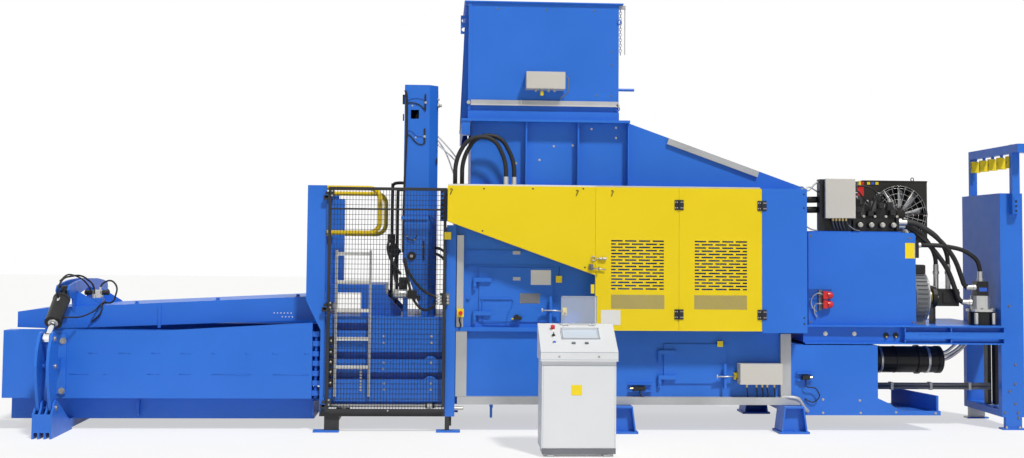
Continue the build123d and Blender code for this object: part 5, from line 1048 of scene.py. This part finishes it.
turned("motorEnds", [
    (
        (2.388, motorY, motorZ), rightward,
        [(0, 0.279), (0.012, 0.279), (0.016, 0.262), (0.016, 0.215), (0.01, 0.2), (0.01, 0.19)]
    ), ((2.252, motorY, motorZ), leftward, [(0, 0.279), (0.008, 0.27), (0.01, 0.2), (0.01, 0)])
], bareSteel, 48, True)
fins = []
halfFin = Vector((0.055, 0.003, 0.008))
for angle in [2 * pi * n / 40 for n in range(40)]:
    centre = Vector((2.32, motorY, motorZ)) + Vector((0, sin(angle), cos(angle))) * 0.284
    fins.append((centre - halfFin, centre + halfFin, Matrix.Rotation(-angle, 4, "X")))
boxes("motorFins", fins, motorGrey, 0.0012)
boxes("motorCap", [((2.245, -0.47, 1.6), (2.39, -0.16, 1.7))], blackPaint, 0.02)
band = [(0, 0.075), (0, 0.079), (0.014, 0.079), (0.014, 0.075)]
rings = [((x, motorY, motorZ), rightward, band) for x in (2.428, 2.478)]
turned("couplingRings", rings, bareSteel, 32, body="coupling")
bolts("pumpBolts", [
    (2.54, motorY + 0.105 * cos(n * pi / 4), motorZ + 0.105 * sin(n * pi / 4), rightward) for n in range(8)
], 0.009, 0.008, boltSteel)
repaint("hydraulic_pump", bareSteel, (2.5, -0.35, 1.449), (2.8, -0.25, 1.62))
pumpSide = [((2.6, -0.405, 1.3), (2.74, -0.394, 1.41)), ((2.775, -0.36, 1.3), (2.8, -0.24, 1.42))]
boxes("pumpSide", pumpSide, blackPaint, 0.006)
repaint("return_filter", bareSteel, (2.8, -0.6, 1.217), (3.2, -0.28, 1.3805))
studs = [
    (2.985 + 0.12 * cos(n * pi / 3 + 0.3), -0.44 + 0.12 * sin(n * pi / 3 + 0.3), 1.24, skyward)
    for n in range(6)
]
bolts("filterBolts", studs, 0.012, 0.012, boltSteel)
filterClamps = plates(-0.592, -0.56, (2.865, 1.085, 2.895, 1.205), (3.045, 1.085, 3.075, 1.205))
boxes("filterClamps", filterClamps, bareSteel, 0.008)
boxes("filterPlate", [((2.945, -0.503, 1.425), (3.03, -0.5005, 1.465))], bluePlastic, 0.001)
hoseRoutes = (
    ([
        (-2.56, -0.86, 2.45), (-2.56, -0.86, 2.71), (-2.43, -0.855, 2.945), (-2.17, -0.845, 2.945),
        (-2.05, -0.835, 2.7), (-2.05, -0.835, 2.45)
    ], 0.022),
    ([
        (-2.49, -0.8, 2.45), (-2.49, -0.8, 2.72), (-2.35, -0.795, 2.965), (-2.1, -0.79, 2.965),
        (-1.965, -0.785, 2.71), (-1.965, -0.785, 2.45)
    ], 0.022),
    ([
        (2.09, -0.455, 2.14), (2.28, -0.455, 2.14), (2.52, -0.465, 1.99), (2.7, -0.47, 1.78),
        (2.81, -0.462, 1.465), (2.923, -0.462, 1.465)
    ], 0.025),
    ([
        (2.09, -0.4, 2.1), (2.23, -0.4, 2.1), (2.46, -0.43, 1.9), (2.64, -0.44, 1.66), (2.76, -0.44, 1.31),
        (2.887, -0.44, 1.31)
    ], 0.025),
    ([
        (2.09, -0.35, 2.14), (2.24, -0.35, 2.14), (2.44, -0.33, 1.99), (2.565, -0.3, 1.8),
        (2.565, -0.3, 1.6)
    ], 0.023), (at(-0.3, (2.09, 2.16), (2.34, 2.16), (2.59, 2.0), (2.695, 1.82), (2.695, 1.6)), 0.023),
    ([
        (2.232, -0.47, 1.905), (2.56, -0.47, 1.905), (2.8, -0.462, 1.86), (2.95, -0.448, 1.76),
        (2.985, -0.44, 1.65), (2.985, -0.44, 1.53)
    ], 0.023)
)
bm = bmesh.new()
for route, radius in hoseRoutes:
    addTube(bm, bentRun(route), radius, 18, False)
hosePiece = finishMesh("hydraulicHoseRuns", bm, hoseRubber, True)
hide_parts("hydraulic_hoses")
print("power unit dressed")

# platform, main cylinder, wire stand
bolts("platformBolts", [(1.266, -0.63, 0.985, near), (1.568, -0.63, 0.985, near)], 0.016, 0.01, bareSteel, 16)
for name, y, z, radius, material, sides in (
    ("platformGlands", -0.628, 0.972, 0.028, blackPlastic, 20),
    ("platformGlandTips", -0.64, 0.955, 0.01, brassFitting, 12)
):
    pair = [((x, y, z), near, disc(radius, 0.012, 0.004)) for x in (1.901, 2.001)]
    turned(name, pair, material, sides)
platformStripe = plates(-0.7025, -0.7003, (2.22, 0.985, 2.74, 0.994), (2.075, 1.004, 3.05, 1.01))
boxes("platformStripe", platformStripe, bluePaint, 0.001)
cylinderZ = 0.672
band = [(0, 0.142), (0, 0.1465), (0.028, 0.1465), (0.028, 0.142)]
bands = [((x, 0, cylinderZ), rightward, band) for x in (2.025, 2.545)]
turned("cylinderBands", bands, bareSteel, 48, True)
turned("cylinderEnd", [
    (
        (2.662, 0, cylinderZ), rightward,
        [(0, 0.142), (0, 0.147), (0.05, 0.147), (0.06, 0.135), (0.06, 0.05)]
    ), ((2.2, 0, cylinderZ), rightward, [(0, 0.142), (0, 0.145), (0.012, 0.145), (0.012, 0.142)])
], blackPaint, 48, True)
tubes("cylinderPipes", [
    [(2.69, -0.06, 0.76), (2.76, -0.07, 0.76), (2.86, -0.08, 0.84), (2.93, -0.09, 0.9)],
    [(2.69, -0.03, 0.72), (2.78, -0.04, 0.72), (2.9, -0.06, 0.8), (2.98, -0.07, 0.89)],
    [(2.69, 0.0, 0.67), (2.79, -0.02, 0.68), (2.92, -0.04, 0.77), (3.03, -0.05, 0.89)]
], 0.016, bareSteel, 10)
pipes = [[(1.78, y, z), (3.14, y, z)] for y, z in ((-0.3, 0.437), (-0.3, 0.4), (-0.26, 0.42))]
tubes("floorPipes", pipes, 0.017, graphitePlate, 10, False)
clips = [((x, -0.325, 0.378), (x + 0.03, -0.24, 0.458)) for x in (2.06, 2.48, 2.9)]
boxes("floorPipeClips", clips, galvanised, 0.004)
standBolts = onFace(-0.587, (
    (3.227, 1.28), (3.285, 0.672), (3.282, 0.473), (3.221, 0.398), (3.279, 0.268), (3.17, 0.176),
    (3.307, 0.176), (3.314, 0.123)
))
bolts("standBolts", standBolts, 0.01, 0.007, graphitePlate)
bolts("standFeetBolts", [(x, -0.6075, 0.028, near) for x in (3.175, 3.317)], 0.009, 0.006, boltSteel)
repaint("wire_stand", galvanised, (3.1, 0.28, -0.01), (3.42, 0.4, 0.131))
boxes("postPlates", [((3.26, -0.661, 2.24), (3.3, -0.6545, 2.42))], bluePaint, 0.002)
bolts("postBolts", [(3.28, -0.661, z, near) for z in (2.27, 2.32, 2.37)], 0.008, 0.006, darkSteel)
for n in range(5):
    y = 0.29 - 0.215 * n
    repaint("pulley_frame", tagYellow, (3.2, y - 0.03, 2.7), (3.34, y + 0.03, 2.8465))
tubes("wireGuides", [at(0.05, (3.22, 0.95), (3.22, 1.05), (3.22, 2.4))], 0.012, galvanised, 8, False)
# black blocks inside the wire stand: painted shade of its inner faces
standPaintedShade = [((3.2, -0.12, 0.205), (3.24, -0.02, 0.865)), ((3.26, -0.16, 0.205), (3.3, -0.08, 0.865))]
boxes("standPaintedShade", standPaintedShade, blackPaint, 0.006)
print("stand dressed")

# console
tiltPanel = atan(0.225 / 0.375)
panelTurn = Matrix.Rotation(tiltPanel, 4, "X")


def onPanel(x, share, height=0.0):
    return Vector((
        x, -2.275 + 0.375 * share - sin(tiltPanel) * height, 0.925 + 0.225 * share + cos(tiltPanel) * height
    ))


def panelBox(x, share, width, depth, low, high):
    centre = onPanel(x, share, (low + high) / 2)
    half = Vector((width / 2, depth / 2, (high - low) / 2))
    return (centre - half, centre + half, panelTurn)


screenX, screenShare = -1.427, 0.62
boxes("consoleScreen", [panelBox(screenX, screenShare, 0.312, 0.127, 0.001, 0.005)], screenGlass, 0.001)
rims = [panelBox(screenX, screenShare + s, 0.35, 0.012, 0.0115, 0.0127) for s in (0.178, -0.178)]
rims += [panelBox(x, screenShare, 0.012, 0.165, 0.0115, 0.0127) for x in (-1.592, -1.262)]
boxes("consoleScreenRim", rims, panelGrey, 0.001)
latches = [panelBox(x, 0.29, 0.034, 0.022, 0.0, 0.012) for x in (-1.499, -1.382)]
boxes("consoleLatches", latches, graphitePlate, 0.003)
bezels = []
for share, radius in ((0.8, 0.024), (0.55, 0.021), (0.32, 0.018)):
    bezels.append((
        onPanel(-1.672, share, 0.0), (0, -sin(tiltPanel), cos(tiltPanel)),
        [(0, radius), (0.004, radius), (0.006, radius - 0.003), (0.006, 0.0145)]
    ))
turned("switchBezels", bezels, bareSteel, 24)
turned("keyholes", [((x, -2.275, 0.883), near, disc(0.01, 0.004)) for x in (-1.637, -1.284)], boltSteel, 20)
seams = plates(-2.2758, -2.2748, (-1.802, 0.918, -1.112, 0.921), (-1.802, 0.855, -1.112, 0.857))
seams += plates(
    -2.2478, -2.2468, (-1.788, 0.8, -1.126, 0.803), (-1.788, 0.075, -1.126, 0.078),
    (-1.777, 0.078, -1.775, 0.8), (-1.139, 0.078, -1.137, 0.8)
)
boxes("consoleSeams", seams, panelGrey, 0.0004)
boxes("barePlateYellowB", [((-1.525, -2.2495, 0.541), (-1.431, -2.2473, 0.631))], tagYellow, 0.001)
repaint("console_cabinet", galvanised, (-1.9, -2.4, -0.01), (-1.0, -1.8, 0.0235))
consolePlinth = [((-1.786, -2.2505, 0.026), (-1.128, -2.2473, 0.074))]
boxes("consolePlinth", consolePlinth, graphitePlate, 0.0008)
lidLow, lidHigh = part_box("console_lid")
rim = [
    ((lidLow.x, lidLow.y + 0.004, lidHigh.z - 0.009), (lidHigh.x, lidLow.y + 0.012, lidHigh.z)),
    ((lidLow.x, lidLow.y + 0.004, 1.155), (lidLow.x + 0.009, lidLow.y + 0.012, lidHigh.z)),
    ((lidHigh.x - 0.009, lidLow.y + 0.004, 1.155), (lidHigh.x, lidLow.y + 0.012, lidHigh.z))
]
boxes("lidRim", rim, panelGrey, 0.001, body="lid")
print("console dressed")

# stage, light and camera
floorMesh = bpy.data.meshes.new("floor")
reach = 60
floorMesh.from_pydata(
    [(-reach, -reach, 0), (reach, -reach, 0), (reach, reach, 0), (-reach, reach, 0)], [], [(0, 1, 2, 3)]
)
floorPiece = bpy.data.objects.new("floor", floorMesh)
scene.collection.objects.link(floorPiece)
floorPale = newMaterial("floorPale", (0.93, 0.93, 0.93), rough=0.85, mottle=0.01, bump=0.0)
floorTree = floorPale.node_tree
lightPath = floorTree.nodes.new("ShaderNodeLightPath").outputs
floorSeen = maths(floorTree, "MAXIMUM", lightPath["Is Camera Ray"], lightPath["Is Glossy Ray"])
floorGlow = node(floorTree, "ShaderNodeEmission", {"Color": (1, 1, 1, 1), "Strength": 1.0})
floorMix = node(floorTree, "ShaderNodeMixShader", {
    "Fac": maths(floorTree, "MULTIPLY", floorSeen, 0.58),
    1: floorTree.nodes["Principled BSDF"].outputs["BSDF"], 2: floorGlow.outputs["Emission"]
})
floorTree.links.new(floorMix.outputs["Shader"], floorTree.nodes["Material Output"].inputs["Surface"])
floorMesh.materials.append(floorPale)

world.use_nodes = True
sky = world.node_tree
sky.nodes.clear()
lightPath = sky.nodes.new("ShaderNodeLightPath").outputs
seen = maths(sky, "MAXIMUM", lightPath["Is Camera Ray"], lightPath["Is Transmission Ray"])
seen = maths(sky, "MAXIMUM", seen, lightPath["Is Glossy Ray"])
dull = node(sky, "ShaderNodeBackground", {"Color": (0.93, 0.96, 1.0, 1), "Strength": 0.22})
bright = node(sky, "ShaderNodeBackground", {"Color": (1, 1, 1, 1), "Strength": 1.0})
mixSky = node(sky, "ShaderNodeMixShader", {"Fac": seen, 1: dull.outputs[0], 2: bright.outputs[0]})
node(sky, "ShaderNodeOutputWorld", {"Surface": mixSky.outputs["Shader"]})


def addLight(name, kind, spot, way, energy):
    light = bpy.data.lights.new(name, kind)
    light.energy = energy
    piece = bpy.data.objects.new(name, light)
    piece.location = spot
    piece.rotation_euler = Vector(way).to_track_quat("-Z", "Y").to_euler()
    scene.collection.objects.link(piece)
    return light


sun = addLight("sun", "SUN", (0, 0, 0), (-0.32, 0.62, -0.95), 2.85)
sun.angle = radians(6)
sun.color = (1.0, 0.98, 0.94)
fill = addLight("fill", "AREA", (-7, -14, 6), (6, 13, -5), 70)
fill.size = 9

pixels = 1250.0  # focal length, in pixels of the photo
photoWide = 1024
yaw = atan(71 / pixels)
pitch = atan(67.6 / pixels)
roll = 0.0092
level = Vector((sin(yaw), cos(yaw), 0))
across = Vector((cos(yaw), -sin(yaw), 0))
forward = level * cos(pitch) + Vector((0, 0, sin(pitch)))
upward = Vector((0, 0, cos(pitch))) - level * sin(pitch)
right = across * cos(roll) + upward * sin(roll)
top = upward * cos(roll) - across * sin(roll)
lensData = bpy.data.cameras.new("camera")
lensData.sensor_width = 36
lensData.lens = pixels / photoWide * lensData.sensor_width
lensData.shift_y = -50 / photoWide
lensData.clip_end = 200
cameraPiece = bpy.data.objects.new("camera", lensData)
turn = Matrix((right, top, -forward)).transposed().to_4x4()
cameraPiece.matrix_world = Matrix.Translation((-2.7003, -13.35, 1.85)) @ turn
scene.collection.objects.link(cameraPiece)
scene.camera = cameraPiece
scene.view_settings.view_transform = "Standard"
print("stage ready")
